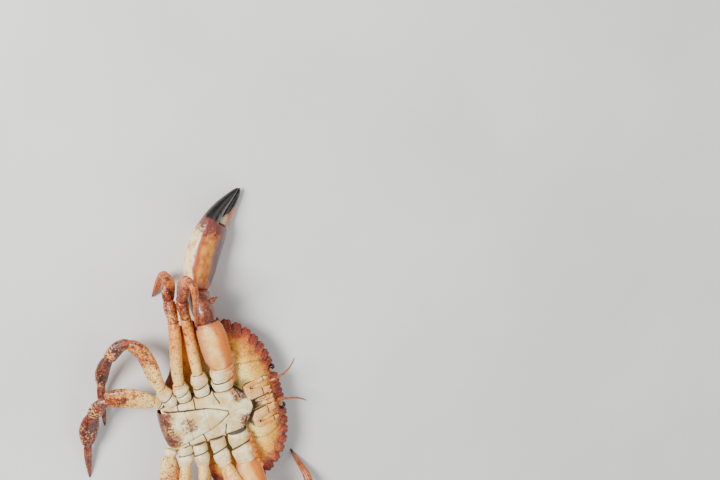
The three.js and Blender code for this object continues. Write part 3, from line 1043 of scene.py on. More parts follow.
def joint_ways(joints: Array, hip: Array, most: float = math.radians(42)) -> list[Array]:
    """Finds the facing of each joint's plane.

    Args:
        joints: Middles of the joints from hip to tip.
        hip: Facing of the hip.
        most: The most that a plane turns from the segment before it.

    Returns:
        One facing for each joint.
    """
    ways = unit(np.diff(joints, axis=0))
    facings = [unit(hip)]
    for before, after in zip(ways[:-1], ways[1:]):
        bend = math.acos(float(np.clip(before @ after, -1, 1)))
        turned = Vector(before.tolist())
        axis = np.cross(before, after)
        turned.rotate(Matrix.Rotation(min(bend / 2, most), 3, Vector(axis.tolist())))
        facings.append(np.array(turned))
    facings.append(ways[-1])
    return facings


def mark_base(skin: Skin) -> None:
    """Marks the painted shade at the foot, the ring groove and the warm far end of a limb's base."""
    along = skin.marks["along"]
    skew = 0.5 + 0.07 * skin.marks["flank"] - 0.05 * skin.marks["upper"]
    # painted shade: dark where the base sinks into the body
    foot_shade = ease(0.06, 0.0, along) * 0.8
    skin.marks["seam"] = np.maximum(peak(along - skew, 0.035), foot_shade) * (1 - skin.marks["soft"])
    skin.marks["edge"] = ease(0.7, 1.0, along) * 0.6


SEGMENTS = ("base", "merus", "carpus", "propodus", "dactyl")
LEG_ROWS: dict[str, Rows] = {
    "base": [(0, 5.8, 5.7), (0.3, 6.9, 6.3), (0.5, 5.7, 5.9), (0.64, 6.4, 6.9), (1, 5, 5.3)],
    "merus": [(0, 4.4, 4), (0.12, 6.2, 4.7), (0.45, 8.2, 5.1), (0.82, 7.7, 5), (0.95, 7, 4.8), (1, 5.8, 4.4)],
    "carpus": [(0, 4.3, 3.9), (0.25, 5.7, 4.7), (0.7, 6.9, 5.3), (0.92, 6.5, 5), (1, 5.5, 4.4)],
    "propodus": [(0, 4.3, 3.8), (0.2, 6.2, 4.5), (0.5, 6.9, 4.7), (0.8, 5.9, 4.2), (1, 4.2, 3.5)],
    "dactyl": [(0, 3.5, 3.1), (0.15, 4, 3.4), (0.5, 3.3, 2.7), (0.8, 2.1, 1.7), (0.95, 1, 0.8), (1, 0.4, 0.35)],
}
LEG_RIDGES = {
    "base": (0, 0.0), "merus": (2, 0.25), "carpus": (5, 0.35), "propodus": (6, 0.3), "dactyl": (6, 0.5),
}  # fmt: skip
CLAW_ROWS: dict[str, Rows] = {
    "base": [(0, 8, 8.2), (0.3, 9, 9.8), (0.5, 7.9, 8.7), (0.66, 8.8, 10), (1, 7.6, 8.6)],
    "merus": [(0, 8.6, 6.6), (0.2, 11.4, 7.8), (0.55, 12, 8.5), (0.88, 11.2, 8.6), (1, 9.2, 7.6)],
    "carpus": [(0, 8, 7.2), (0.3, 11, 9.2), (0.7, 11.8, 9.6), (0.93, 10.4, 9.2), (1, 8.6, 7.8)],
}
CLAW_KNOBS = {"base": (0.24, 0.4, 0.62, 0.78, 0.93), "merus": (0.08, 0.19)}
PALM_ROWS: Rows = (
    (0, 8, 7.6), (0.1, 12, 10), (0.35, 17, 12), (0.65, 18, 12), (0.88, 16.2, 11), (1, 13.8, 9.4),
)  # fmt: skip
FINGER_ROWS: Rows = (
    (0, 8.4, 7.4), (0.25, 7.6, 6.2), (0.55, 5.6, 4.6), (0.82, 3.2, 2.8), (0.96, 1.4, 1.3), (1, 0.6, 0.6),
)  # fmt: skip
FINGER_SPREAD = 8.4
FACE_TURN = math.radians(60)


@dataclass
class Leg:
    """A walking leg of five pieces.

    Attributes:
        name: Its name, which the names of its nodes start with.
        size: Thickness against a full-size leg.
        joints: Middles of its joints from hip to tip.
        tall: The way each piece's upper edge points.
        hip: How far the hip faces back.
        broad: Extra height of the merus and propodus.
        wide: Extra breadth of the base.
        dust: How thickly it is speckled.
    """

    name: str
    size: float
    joints: list[Place]
    tall: list[Place]
    hip: float = 0.0
    broad: float = 1.0
    wide: float = 1.0
    dust: float = 1.0

    def build(self, finishes: Materials) -> list[Part]:
        """Makes the leg's five pieces.

        Args:
            finishes: The material for each kind of piece.

        Returns:
            The pieces from hip to tip.
        """
        joints = np.array(self.joints, dtype=float)
        ways = joint_ways(joints, vec(self.hip, float(np.sign(joints[0][1])), 0))
        parts = []
        for i, kind in enumerate(SEGMENTS):
            tall = vec(*self.tall[i])
            stretch = self.size * (self.broad if kind in ("merus", "propodus") else 1)
            breadth = self.size * (self.wide if kind == "base" else 1)
            rows = [(at, h * stretch, t * breadth) for at, h, t in LEG_ROWS[kind]]
            skin = Limb(
                joints[i], joints[i + 1], ways[i], ways[i + 1], tall, rows,
                ridges=LEG_RIDGES[kind], lip=0.0 if kind == "dactyl" else 0.3, joint_skin=i > 0,
                lumps=(6.0, 0.12) if i else (5.0, 0.7), rounded=0.0 if i else 1.6,
            ).build().on_floor()  # fmt: skip
            if i:
                reach = np.cross(ways[i], unit(tall)) * rows[0][2] * 0.98
                for s in (-1, 1):
                    skin = skin.with_skin(knob(joints[i] + reach * s, 1.15 * self.size, {"along": 0.02}))
            else:
                mark_base(skin)
            skin.marks["dust"] = skin.even(self.dust)
            slot = {"base": Slot.BELLY, "merus": Slot.LIMB}.get(kind, Slot.LIMB_END)
            parts.append(Part(f"{self.name}_{kind}", skin, finishes[kind], slot))
        return parts


LEGS = [
    Leg(
        "right_leg_1", 0.97,
        [(-18, 20, 35), (-17, 40, 37), (-12.6, 90.5, 37), (-10.7, 109, 46), (-1.5, 127, 66), (-6.7, 84.5, 57)],
        [(0, 0, 1), (0, 0, 1), (0, -0.6, 1), (0, -0.8, 0.6), (0, 0.7, 1)],
        wide=1.12, dust=0.62,
    ),
    Leg(
        "right_leg_2", 1.0,
        [(-33, 20, 34.5), (-33.7, 36, 36), (-23, 89, 37), (-21.5, 105.5, 31), (-17.4, 122.5, 24), (-34.2, 103, 0)],
        [(0, 0, 1), (0.1, 0, 1), (0.2, 0, 1), (-0.6, 0, 0.8), (-0.3, 0.9, 0.3)],
        dust=0.62,
    ),
    Leg(
        "right_leg_3", 0.96,
        [(-45, 19, 33.5), (-48.8, 36, 34), (-61.9, 79.7, 30), (-80.7, 71.9, 25), (-94.8, 46.5, 11), (-104.7, 5, 0)],
        [(0, 0, 1), (0.7, 0.2, 0.7), (0.4, 0.8, 0.5), (-0.7, 0.4, 0.6), (-0.8, 0.2, 0.6)],
    ),
    Leg(
        "right_leg_4", 0.92,
        [(-53.5, 19.5, 25.5), (-58.5, 25, 29), (-92.5, 37.6, 27), (-107.8, 26.6, 21), (-121, -0.5, 11), (-131, -37, 0)],
        [(0, 0, 1), (0.2, 0.95, 0.3), (-0.4, 0.9, 0.3), (-0.9, 0.4, 0.2), (-0.9, 0.2, 0.4)],
        hip=-0.6, broad=1.28,
    ),
    Leg(
        "left_leg_1", 0.97,
        [(-18, -20, 35), (-17.5, -46, 39.5), (-4, -91, 57.5), (19.4, -107.2, 43), (45.4, -107.3, 19), (40.3, -73.5, 0)],
        [(0, 0, 1), (1, 0.3, 0.2), (0.5, 0.8, 0.5), (0, 0.9, 0.4), (0.9, 0, 0.5)],
        wide=1.12, dust=0.62,
    ),
    Leg(
        "left_leg_2", 1.0,
        [(-33, -20, 34.5), (-35.5, -41, 36.5), (-46, -95, 35), (-50, -116, 28), (-50, -143, 15), (-43, -181, 0)],
        [(0, 0, 1), (-0.5, 0, 0.9), (-0.6, 0, 0.8), (-0.8, 0, 0.6), (-0.8, 0, 0.6)],
    ),
    Leg(
        "left_leg_3", 0.96,
        [(-45, -19, 33.5), (-49.5, -37, 35), (-65, -82, 32), (-75, -99.5, 26), (-86, -124, 14), (-84, -161, 0)],
        [(0, 0, 1), (-0.5, 0.2, 0.8), (-0.6, 0.2, 0.8), (-0.7, 0.3, 0.6), (-0.8, 0.2, 0.6)],
    ),
    Leg(
        "left_leg_4", 0.92,
        [(-53.5, -19.5, 25.5), (-59.5, -27, 29), (-69, -64, 27), (-79, -80, 21), (-95, -106, 11), (-108, -140, 0)],
        [(0, 0, 1), (-0.8, 0.5, 0.4), (-0.8, 0.5, 0.4), (-0.8, 0.5, 0.4), (-0.8, 0.4, 0.5)],
        hip=-0.6, broad=1.28,
    ),
]  # fmt: skip


@dataclass
class Claw:
    """A claw: a three-piece arm, a hand with its fixed finger, and the moving finger.

    Attributes:
        name: Its name, which the names of its nodes start with.
        joints: Middles of its joints from hip to tip.
        tall: The way each piece's upper edge points.
    """

    name: str
    joints: list[Place]
    tall: list[Place]

    def build(self, finishes: Materials) -> list[Part]:
        """Makes the claw's five pieces.

        Args:
            finishes: The material for each kind of piece.

        Returns:
            The pieces from hip to tip.
        """
        joints = np.array(self.joints, dtype=float)
        side = float(np.sign(joints[0][1]))
        ways = joint_ways(joints, vec(0, side, 0))
        parts = []
        for i, kind in enumerate(SEGMENTS[:3]):
            limb = Limb(
                joints[i], joints[i + 1], ways[i], ways[i + 1], vec(*self.tall[i]), CLAW_ROWS[kind],
                rings=72, around=64, lumps=(9.0, 0.4) if i else (6.5, 0.9), lip=0.45, joint_skin=i > 0,
                ridges=(3, 0.5) if kind == "carpus" else (0, 0.0), rounded=0.0 if i else 1.8,
            )  # fmt: skip
            skin = limb.build()
            if kind == "base":
                mark_base(skin)
                front = ease(1.5, 6.5, skin.points[:, 0]) * ease(0.12, 0.3, skin.marks["along"])
                skin.marks["edge"] = np.maximum(skin.marks["edge"], front)
            if kind in CLAW_KNOBS:
                skin = self.with_knobs(skin, limb, kind)
            if kind == "carpus":
                middle = joints[2] * 0.38 + joints[3] * 0.62
                skin = skin.with_skin(spike(middle + vec(6, 0, 4), middle + vec(13.5, 3 * side, 6), 3.0))
            slot = Slot.CLAW if i else Slot.BELLY
            parts.append(Part(f"{self.name}_{kind}", skin, finishes[kind], slot))
        return parts + self.hand(joints, ways, finishes)

    @staticmethod
    def with_knobs(skin: Skin, limb: Limb, kind: str) -> Skin:
        """Adds a row of orange knobs along the front of an arm piece.

        Args:
            skin: The piece's surface.
            limb: The limb that it was made from.
            kind: Which piece it is.

        Returns:
            The surface with its knobs.
        """
        at = np.array(CLAW_KNOBS[kind])
        reach = profile(CLAW_ROWS[kind], at)[1 if kind == "base" else 0]
        places = limb.spine(at)[0] + np.outer(reach * 0.9, vec(1, 0, 0)) + vec(0, 0, 1.2)
        for k, place in enumerate(places):
            skin = skin.with_skin(knob(place, 2.5 + 0.35 * math.sin(k * 2.1), {"edge": 1.0, "lump": 1.0}))
        return skin

    def hand(self, joints: Array, ways: list[Array], finishes: Materials) -> list[Part]:
        """Makes the hand and the moving finger.

        Args:
            joints: Middles of the claw's joints.
            ways: Facings of the joints.
            finishes: The material for each kind of piece.

        Returns:
            The hand and the finger.
        """
        wrist, root, tip = joints[3:]
        hand_way = unit(root - wrist)
        tall = vec(*self.tall[3])
        up = unit(tall - hand_way * (tall @ hand_way))
        mirror = float(np.sign(joints[0][1]))
        face = up * math.cos(FACE_TURN) - np.cross(hand_way, up) * math.sin(FACE_TURN) * mirror
        palm = Limb(
            wrist, root, ways[3], ways[4], up, PALM_ROWS, rings=72, around=72, lumps=(11.0, 0.7), lip=0.0,
            paint_way=face,
        ).build()  # fmt: skip
        palm.marks["horn"] = palm.even(0.0)
        fixed = self.finger(root, tip, up, ways[4], -1, -6, 1.6, face)
        moving = self.finger(root, tip, up, ways[4], 1, GAP, 1.2, face)
        fixed.marks["horn"] = fixed.marks["along"].copy()
        fixed.marks["along"] = fixed.even(1.0)
        hand = palm.with_skin(fixed).fused(0.7, 6)
        return [
            Part(f"{self.name}_hand", hand.on_floor(), finishes["hand"], Slot.CLAW),
            Part(f"{self.name}_finger", moving.on_floor(), finishes["finger"], Slot.CLAW_TIP),
        ]

    @staticmethod
    def finger(
        root: Array, tip: Array, up: Array, way: Array, side: int, shift: float, tip_shift: float, face: Array
    ) -> Skin:
        """Makes one finger, flat and toothed along the edge where the two meet.

        Args:
            root: Middle of the hand's far end.
            tip: Where the fingers' tips meet.
            up: From the fixed finger to the moving one.
            way: Facing of the hand's far end.
            side: 1 for the moving finger, -1 for the fixed one.
            shift: How far the finger starts beyond the hand's end.
            tip_shift: How far the tip lies from the middle line.
            face: Direction of the across mark.

        Returns:
            A closed surface.
        """
        line = unit(tip - root)
        length = np.linalg.norm(tip - root)
        skin = Limb(
            root + up * side * FINGER_SPREAD + way * shift, tip + up * side * tip_shift,
            way, unit(line - up * side * 0.3), up, FINGER_ROWS,
            rings=90, around=40, lip=0.0, lumps=(6, 0.3), joint_skin=side > 0, paint_way=face,
        ).build()  # fmt: skip
        reach = np.clip((skin.points - root) @ line / length, 0, 1)
        middle = root + line * (reach * length)[:, None]
        across = (skin.points - middle) @ up * side
        waves = np.abs(np.sin(reach * 8 * math.pi)) ** 0.6
        teeth = 0.2 + 0.55 * waves * ease(0.15, 0.3, reach) * ease(1.0, 0.8, reach)
        short = np.maximum(0.95 - teeth - across, 0) * ease(0.1, 0.3, reach)
        skin.points += up * side * short[:, None]
        return skin


CLAWS = [
    Claw(
        "right_claw",
        [(0, 20, 35), (2.5, 41, 38.5), (3, 80.5, 39), (3.5, 104.5, 24), (32.5, 152, 12.2), (59.8, 172.8, 6)],
        [(0, 0, 1), (1, 0, 0.2), (0, 0.5, 1), (0.55, -0.3, -0.78)],
    ),
    Claw(
        "left_claw",
        [(0, -20, 35), (0, -48, 39.5), (-1, -86, 39.5), (-6, -108, 24.4), (-14, -163, 10.2), (3, -196, 4)],
        [(0, 0, 1), (1, 0, 0.2), (0, 0.5, 1), (0.85, -0.1, -0.5)],
    ),
]


SHELL_EDGE = (
    (44.5, 0), (44.2, 12), (43, 24), (40, 39), (33.5, 54), (22.5, 66.5), (10, 74), (-4, 78), (-17, 77.5),
    (-26, 74.5), (-30.5, 70), (-32.5, 62), (-35.5, 51), (-39.5, 41), (-46, 32), (-51.5, 22), (-53, 10),
    (-53.2, 0),
)  # fmt: skip
CHEEK_SEAM = ((43, 25), (36, 31), (27, 34.5), (17, 35.5), (8, 33))


def smooth_line(corners: Array, steps: int) -> Array:
    """Curves a line through its corners; past both ends it goes on as its mirror image.

    Args:
        corners: Places from one end to the other.
        steps: How many points each span gets.

    Returns:
        The places along the curve.
    """
    line = np.concatenate([corners[1:2] * [1, -1], corners, corners[-2:-1] * [1, -1]])
    t = np.linspace(0, 1, steps, endpoint=False)[:, None]
    fine = []
    for p0, p1, p2, p3 in zip(line, line[1:], line[2:], line[3:]):
        d0, d1, d2 = (math.sqrt(np.linalg.norm(b - a)) for a, b in ((p0, p1), (p1, p2), (p2, p3)))
        m1 = (p1 - p0) / d0 - (p2 - p0) / (d0 + d1) + (p2 - p1) / d1
        m2 = (p2 - p1) / d1 - (p3 - p1) / (d1 + d2) + (p3 - p2) / d2
        fine.append(cubic(t, p1, m1 * d1, p2, m2 * d1))
    return np.concatenate([*fine, corners[-1:]])


def lobe(share: Array) -> Array:
    """Returns a tooth's outline over its breadth."""
    return 1 - np.abs(2 * share - 1) ** 3


@dataclass
class Shell:
    """The great shell, as one skin over its back, its toothed edge and its underside.

    Attributes:
        edge: The edge without its teeth, from the front round one side to the rear.
        last_tooth: Number of the edge point where the side teeth end.
        side_teeth: How many teeth each side has.
        side_depth: How far the side teeth stand out.
        orbit: Distances along the edge where an eye's notch starts and ends, and its depth.
        front_teeth: How many teeth stand between the eyes.
        front_depth: How far they stand out.
        side_z: Height of the edge at the sides.
        front_z: Height of the edge at the front.
        rear_z: Height of the edge at the rear.
        dome_power: How late the back rises towards the edge.
        belly_power: How late the underside falls towards the edge.
        rest_cut: How much of the crown is pressed flat on the floor.
        flank_z: Height of the underside at the flanks.
        cheek_z: Height of the underside beside the mouth.
        half_edge: Half the thickness of the edge.
        around: How many points run round it.
        inward: Share of the way out of each ring, before the edge.
        turns: Angles of the rings round the edge.
    """

    edge: Rows = SHELL_EDGE
    last_tooth: int = 9
    side_teeth: int = 11
    side_depth: float = 3.4
    orbit: Place = (12.5, 22.0, 3.6)
    front_teeth: int = 5
    front_depth: float = 2.6
    side_z: float = 24.0
    front_z: float = 20.0
    rear_z: float = 14.0
    dome_power: float = 2.4
    belly_power: float = 5.0
    rest_cut: float = 0.5
    flank_z: float = 29.0
    cheek_z: float = 36.5
    half_edge: float = 1.1
    around: int = 1080
    inward: Array = field(
        default_factory=lambda: np.append(np.linspace(0.03, 0.9, 40), np.linspace(0.91, 0.985, 9))
    )
    turns: Array = field(default_factory=lambda: np.linspace(-0.42 * math.pi, 0.42 * math.pi, 9))

    def teeth(self, at: Array, last: float) -> tuple[Array, Array]:
        """Finds how far the edge stands out and where its notches are.

        Args:
            at: Distances along the edge from the middle of the front.
            last: Distance where the side teeth end.

        Returns:
            The shift outward, and how near each place is to a notch.
        """
        inner, outer, orbit_depth = self.orbit
        front_phase = (at / (2 * inner / self.front_teeth) + 0.5) % 1
        share = np.clip((at - outer) / (last - outer), 0, 1) ** (1 / 1.12)
        side_phase = (share * self.side_teeth) % 1
        beads = np.abs(np.sin(side_phase**1.15 * 2 * math.pi)) ** 0.7 * 1.1
        beads = beads + np.abs(np.sin(side_phase * 6 * math.pi)) * 0.25
        front = self.front_depth * lobe(front_phase)
        socket = -orbit_depth * lobe(np.clip((at - inner) / (outer - inner), 0, 1))
        side = self.side_depth * (0.75 + 0.35 * share) * lobe(side_phase) - 1.0 + beads
        on_front, in_orbit, on_side = at < inner, (at >= inner) & (at < outer), (at >= outer) & (at < last)
        notches = [np.abs(2 * front_phase - 1) ** 4, np.abs(2 * side_phase - 1) ** 6]
        shift = np.select([on_front, in_orbit, on_side], [front, socket, side], 0.0)
        return shift, np.select([on_front, on_side], notches, 0.0)

    def rim(self) -> tuple[Array, Array, Array]:
        """Finds the edge's points.

        Returns:
            The plain edge, the toothed edge and how near each point is to a notch.
        """
        steps = 60
        dense = smooth_line(np.array(self.edge, dtype=float), steps)
        run = np.concatenate([[0], np.cumsum(np.linalg.norm(np.diff(dense, axis=0), axis=1))])
        at = np.linspace(0, run[-1], self.around // 2 + 1)
        spot = np.stack([np.interp(at, run, dense[:, 0]), np.interp(at, run, dense[:, 1])], axis=1)
        way = unit(np.gradient(spot, axis=0))
        out = np.stack([way[:, 1], -way[:, 0]], axis=1)
        shift, notch = self.teeth(at, run[steps * self.last_tooth])
        halves = (spot, spot + out * shift[:, None])
        plain, toothed = (np.concatenate([half[:-1], (half * [1, -1])[:0:-1]]) for half in halves)
        return plain, toothed, np.concatenate([notch[:-1], notch[:0:-1]])

    def rim_height(self, spot: Array) -> Array:
        """Returns the height of the edge at plain edge points."""
        forward = spot[:, 0] / np.linalg.norm(spot, axis=1)
        end = np.where(forward > 0, self.front_z, self.rear_z)
        return self.side_z + (end - self.side_z) * forward**2

    def dome(self, rho: float, place: Array, height: Array) -> Array:
        """Returns the heights of one ring of the back, from its share of the way out."""
        plain = np.maximum(height * rho**self.dome_power - self.rest_cut, 0)
        lumps = (ripple(np.column_stack([place, plain]), 9.0) + 1) * 0.3 * ease(0.25, 0.5, rho)
        return np.maximum(plain + lumps - self.half_edge * ease(0.9, 1.0, rho), 0)

    def underside(self, rho: float, place: Array, height: Array) -> Array:
        """Returns the heights of one ring of the underside, from its share of the way out."""
        target = self.flank_z + (self.cheek_z - self.flank_z) * ease(2, 26, place[:, 0])
        z = target + (height - target) * rho**self.belly_power
        z = z + self.half_edge * ease(0.9, 1.0, rho)
        spots = np.column_stack([place, z])
        return z + ripple(spots, 4.0) * 0.22 + ripple(spots, 11.0) * 0.4 * (1 - rho)

    def rings(self, plain: Array, toothed: Array) -> Array:
        """Stacks the rings from the crown round the edge to the middle of the underside.

        Args:
            plain: The plain edge.
            toothed: The toothed edge.

        Returns:
            The rings; the teeth fade in near the edge.
        """
        height = self.rim_height(plain)
        places = [plain * rho + (toothed - plain) * ease(0.9, 1.0, rho) for rho in self.inward]
        rings = []
        for rho, place in zip(self.inward, places):
            rings.append(np.column_stack([place, self.dome(rho, place, height)]))
        for turn in self.turns:
            place = toothed - unit(toothed) * (self.half_edge * (1 - math.cos(turn)))
            rings.append(np.column_stack([place, height + self.half_edge * math.sin(turn)]))
        for rho, place in zip(self.inward[::-1], places[::-1]):
            rings.append(np.column_stack([place, self.underside(rho, place, height)]))
        return np.array(rings)

    @staticmethod
    def cheek_seams(x: Array, y: Array) -> Array:
        """Returns 1 on the seam beside the mouth on either side, falling off quickly."""
        seam = np.zeros_like(x)
        for side in (-1, 1):
            near = np.full(x.shape, 1e3)
            corners = np.array(CHEEK_SEAM) * [1, side]
            for a, b in zip(corners[:-1], corners[1:]):
                run = b - a
                t = np.clip(((x - a[0]) * run[0] + (y - a[1]) * run[1]) / (run @ run), 0, 1)
                near = np.minimum(near, np.hypot(x - a[0] - t * run[0], y - a[1] - t * run[1]))
            seam = np.maximum(seam, peak(near, 0.5))
        return seam

    def build(self) -> Skin:
        """Makes the shell's surface.

        Returns:
            A closed surface with marks rim, back, seam and shade; the shade mark and the notch part of seam are painted
            shade.
        """
        plain, toothed, notch = self.rim()
        rings = self.rings(plain, toothed)
        ones, zeros = np.ones(len(self.inward)), np.zeros(len(self.inward))
        rim = np.concatenate([self.inward, np.ones(len(self.turns)), self.inward[::-1]])[:, None]
        back = np.concatenate([ones, 0.5 - 0.5 * np.sin(self.turns) / 0.97, zeros])[:, None]
        x, y = rings[..., 0], rings[..., 1]
        under = back < 0.4
        seam = self.cheek_seams(x, y) * under
        rings[..., 2] -= seam * 0.5
        mouth = ease(17, 18.5, x) * ease(38.5, 37, x) * ease(5.2, 4.2, np.abs(y + 3)) * under
        rings[..., 2] = rings[..., 2] * (1 - mouth) + np.minimum(rings[..., 2], 31) * mouth
        # painted shade: dark in the mouth hollow, in the throat groove before the breastplate and on the underside
        # between the hips
        hips = 0.85 * ease(14, 2, x) * ease(-52, -44, x) * ease(62, 34, np.abs(y))
        throat = ease(25, 17, x) * ease(8, 12, x) * ease(25, 18, np.abs(y))
        shade = np.clip(mouth + (hips + throat) * under, 0, 1)
        # painted shade: dark lines in the notches between the edge teeth, carried by the seam mark
        deep = np.clip(notch[None] * ease(0.9, 1.0, rim), 0, 1)
        seam = np.clip(seam * 0.8 + deep * 0.55, 0, 1)
        skin = loft(rings, {"rim": rim, "back": back, "seam": seam, "shade": shade})
        for side in (-1, 1):
            horn = spike(vec(36.5, side * 4.2, 29), vec(45.5, side * 5.6, 26.5), 2.1)
            horn.marks = {"rim": horn.even(0.95)}
            skin = skin.with_skin(horn)
        return skin


@dataclass
class Breastplate:
    """The plated breast between the hips.

    Attributes:
        rows: Place, half width, edge height and root height.
        middle_z: Height of its middle.
        rear_drop: How far the middle sinks at the rear.
        seams: Where its plates meet, along the middle line.
    """

    rows: Rows = (
        (-54.6, 18.5, 34, 29), (-49.6, 20.6, 37.5, 31), (-48.9, 20.6, 38.5, 28), (-39.5, 19, 39, 24),
        (-38.5, 19.7, 39, 24.5), (-28.2, 19.7, 39.3, 26.6), (-25.6, 21.6, 38.6, 27), (-23.4, 19.7, 39.3, 27.2),
        (-12.2, 19.7, 39.5, 28), (-10.2, 21.8, 38.7, 28), (-8.4, 19.7, 39.5, 28), (6, 19.4, 39, 28),
        (9, 16.5, 38.5, 28), (14, 11, 38.5, 28), (18, 4, 38, 28),
    )  # fmt: skip
    middle_z: float = 42.0
    rear_drop: float = 6.5
    seams: tuple[float, ...] = (8.0, -9.5, -26.5, -40.5)

    def seam_mark(self, x: Array, y: Array, s: Array, fold: "Abdomen") -> Array:
        """Finds the seams between the plates, round the abdomen and along the brim.

        Args:
            x: Places along the middle line.
            y: Places across it.
            s: Share of the way out to the brim.
            fold: The abdomen that lies in its groove.

        Returns:
            1 on a seam, falling off quickly.
        """
        seam = peak(y, 0.3) * ease(-3, 1, x) * ease(15, 12, x) * 0.55
        for at in self.seams:
            bend = at + 2.6 * ease(19, 9, np.abs(y)) * (1 if at > -20 else -0.4)
            seam = np.maximum(seam, peak(x - bend, 0.55) * ease(8.0, 10.5, np.abs(y)))
        brim = np.abs(np.abs(y) - fold.half_width_at(x))
        seam = np.maximum(seam, peak(brim, 1.05) * ease(-1.0, -3.0, x) * ease(-56, -50, x))
        return np.maximum(seam, ease(0.965, 1.0, np.abs(s)) * 0.8)

    def build(self, fold: "Abdomen") -> Skin:
        """Makes the breastplate's surface.

        Args:
            fold: The abdomen that lies in its groove.

        Returns:
            A closed surface with marks seam, blotch and edge.
        """
        table = np.array(self.rows)
        x = np.unique(np.concatenate([np.linspace(-54.6, 18, 190), table[:, 0]]))
        half, edge, root = (np.interp(x, table[:, 0], table[:, k]) for k in (1, 2, 3))
        s = np.sin(np.linspace(-1, 1, 121) * math.pi / 2)[None]
        y = half[:, None] * s
        grid_x = np.broadcast_to(x[:, None], y.shape)
        seam = self.seam_mark(grid_x, y, s, fold)
        middle = (self.middle_z - self.rear_drop * ease(-45.0, -54.6, x))[:, None]
        z = middle + (edge[:, None] - middle) * s**2 - 0.9 * ease(0.93, 1.0, np.abs(s)) ** 2
        cushions = 0.5 * np.abs(np.sin((grid_x + 9) / 17.0 * math.pi)) * ease(10, 15, np.abs(y))
        spots = np.stack([grid_x, y, np.zeros_like(y)], axis=-1)
        z = z - seam * 0.75 + cushions * 0.8 - 0.4 + ripple(spots, 8.0, 2.0) * 0.3
        top = np.stack([grid_x, y, z], axis=-1)
        low = np.stack([x, half, root + GAP], axis=-1)
        steps = np.linspace(0.15, 1, 6)[:, None, None]
        right = top[:, -1] + (low - top[:, -1]) * steps
        left = top[:, 0] + (low * [1, -1, 1] - top[:, 0]) * steps[::-1]
        rings = np.concatenate([top, right.transpose(1, 0, 2), left.transpose(1, 0, 2)], axis=1)
        wall = np.full((len(x), 2 * len(steps)), 0.9)
        out = np.abs(rings[..., 1])
        marks = {
            "seam": np.concatenate([seam, wall], axis=1),
            "blotch": ease(0, 8, rings[..., 0]) * 0.62 * ease(3, 9, out),
            "edge": ease(16, 19, out) * 0.5,
        }
        return loft(rings, marks)


@dataclass
class Abdomen:
    """The narrow abdomen folded over the breastplate and round the rear.

    Attributes:
        rows: Place, height and half width down the middle line.
        flat_rows: How many of the rows lie flat on the breastplate.
        half_thick: Half its thickness.
        joints: Where its rings meet, along the middle line.
    """

    rows: Rows = (
        (-3, 40.9, 1.2), (-10, 41.3, 5.4), (-20, 41.4, 9.6), (-32, 41.3, 12), (-45, 40.9, 15),
        (-52.5, 39.4, 16.2), (-56.6, 35, 16), (-58, 28, 14.8), (-56.6, 20.5, 15.5), (-53.4, 14.6, 18),
    )  # fmt: skip
    flat_rows: int = 6
    half_thick: float = 1.7
    joints: tuple[float, ...] = (18.0, 33.0, 50.5, 57.5, 66.0)

    def half_width_at(self, x: Array) -> Array:
        """Returns the half width over the flat part, at places along it."""
        flat = np.array(self.rows[: self.flat_rows])[::-1]
        return np.interp(x, flat[:, 0], flat[:, 2])

    def build(self) -> Skin:
        """Makes the abdomen's surface.

        Returns:
            A closed surface with marks seam, blotch and edge.
        """
        table = np.array(self.rows)
        run = np.concatenate([[0], np.cumsum(np.hypot(*np.diff(table[:, :2], axis=0).T))])
        at = np.linspace(0, run[-1], 230)
        x, z, half = profile([(r, *row) for r, row in zip(run, table)], at)
        line = np.stack([x, np.zeros_like(x), z], axis=1)
        way = unit(np.gradient(line, axis=0))
        out = np.stack([way[:, 2], np.zeros_like(x), -way[:, 0]], axis=1)
        seam, step = np.zeros_like(at), np.zeros_like(at)
        for joint in self.joints:
            seam = np.maximum(seam, peak(at - joint, 0.32))
            step += 0.35 * ease(-6, 0, at - joint) * (at < joint)
        half = (half - 0.7 * seam)[:, None]
        turn = circle(72)
        s, t = fuller(np.sin(turn), 0.7)[None], fuller(np.cos(turn), 0.8)[None]
        outer = np.where(t > 0, 1, 0)
        lift = self.half_thick * t * (1 - 0.25 * s**2)
        lift = lift + outer * (step - 0.7 * seam)[:, None] * (1 - 0.5 * s**2)
        keel = outer * 0.5 * (peak(s, 0.35) - 0.6)
        swell = np.stack([np.broadcast_to(at[:, None], lift.shape), half * s, 0 * lift], axis=-1)
        lift = lift + keel * 0.6 + 0.25 * outer * ripple(swell, 7.0, 5.0)
        rings = line[:, None] + vec(0, 1, 0) * (half * s)[..., None] + out[:, None] * lift[..., None]
        rear = ease(38, 52, at)[:, None] * (0.72 + 0.28 * ease(0.2, 0.9, np.abs(s)))
        faint = 0.5 * peak(at - 33, 7)[:, None] * ease(0.7, 0.3, np.abs(s))
        edge = 0.25 * ease(0.8, 1, np.abs(s))
        return loft(rings, {"seam": seam[:, None] * 0.5, "blotch": np.maximum(rear, faint), "edge": edge})


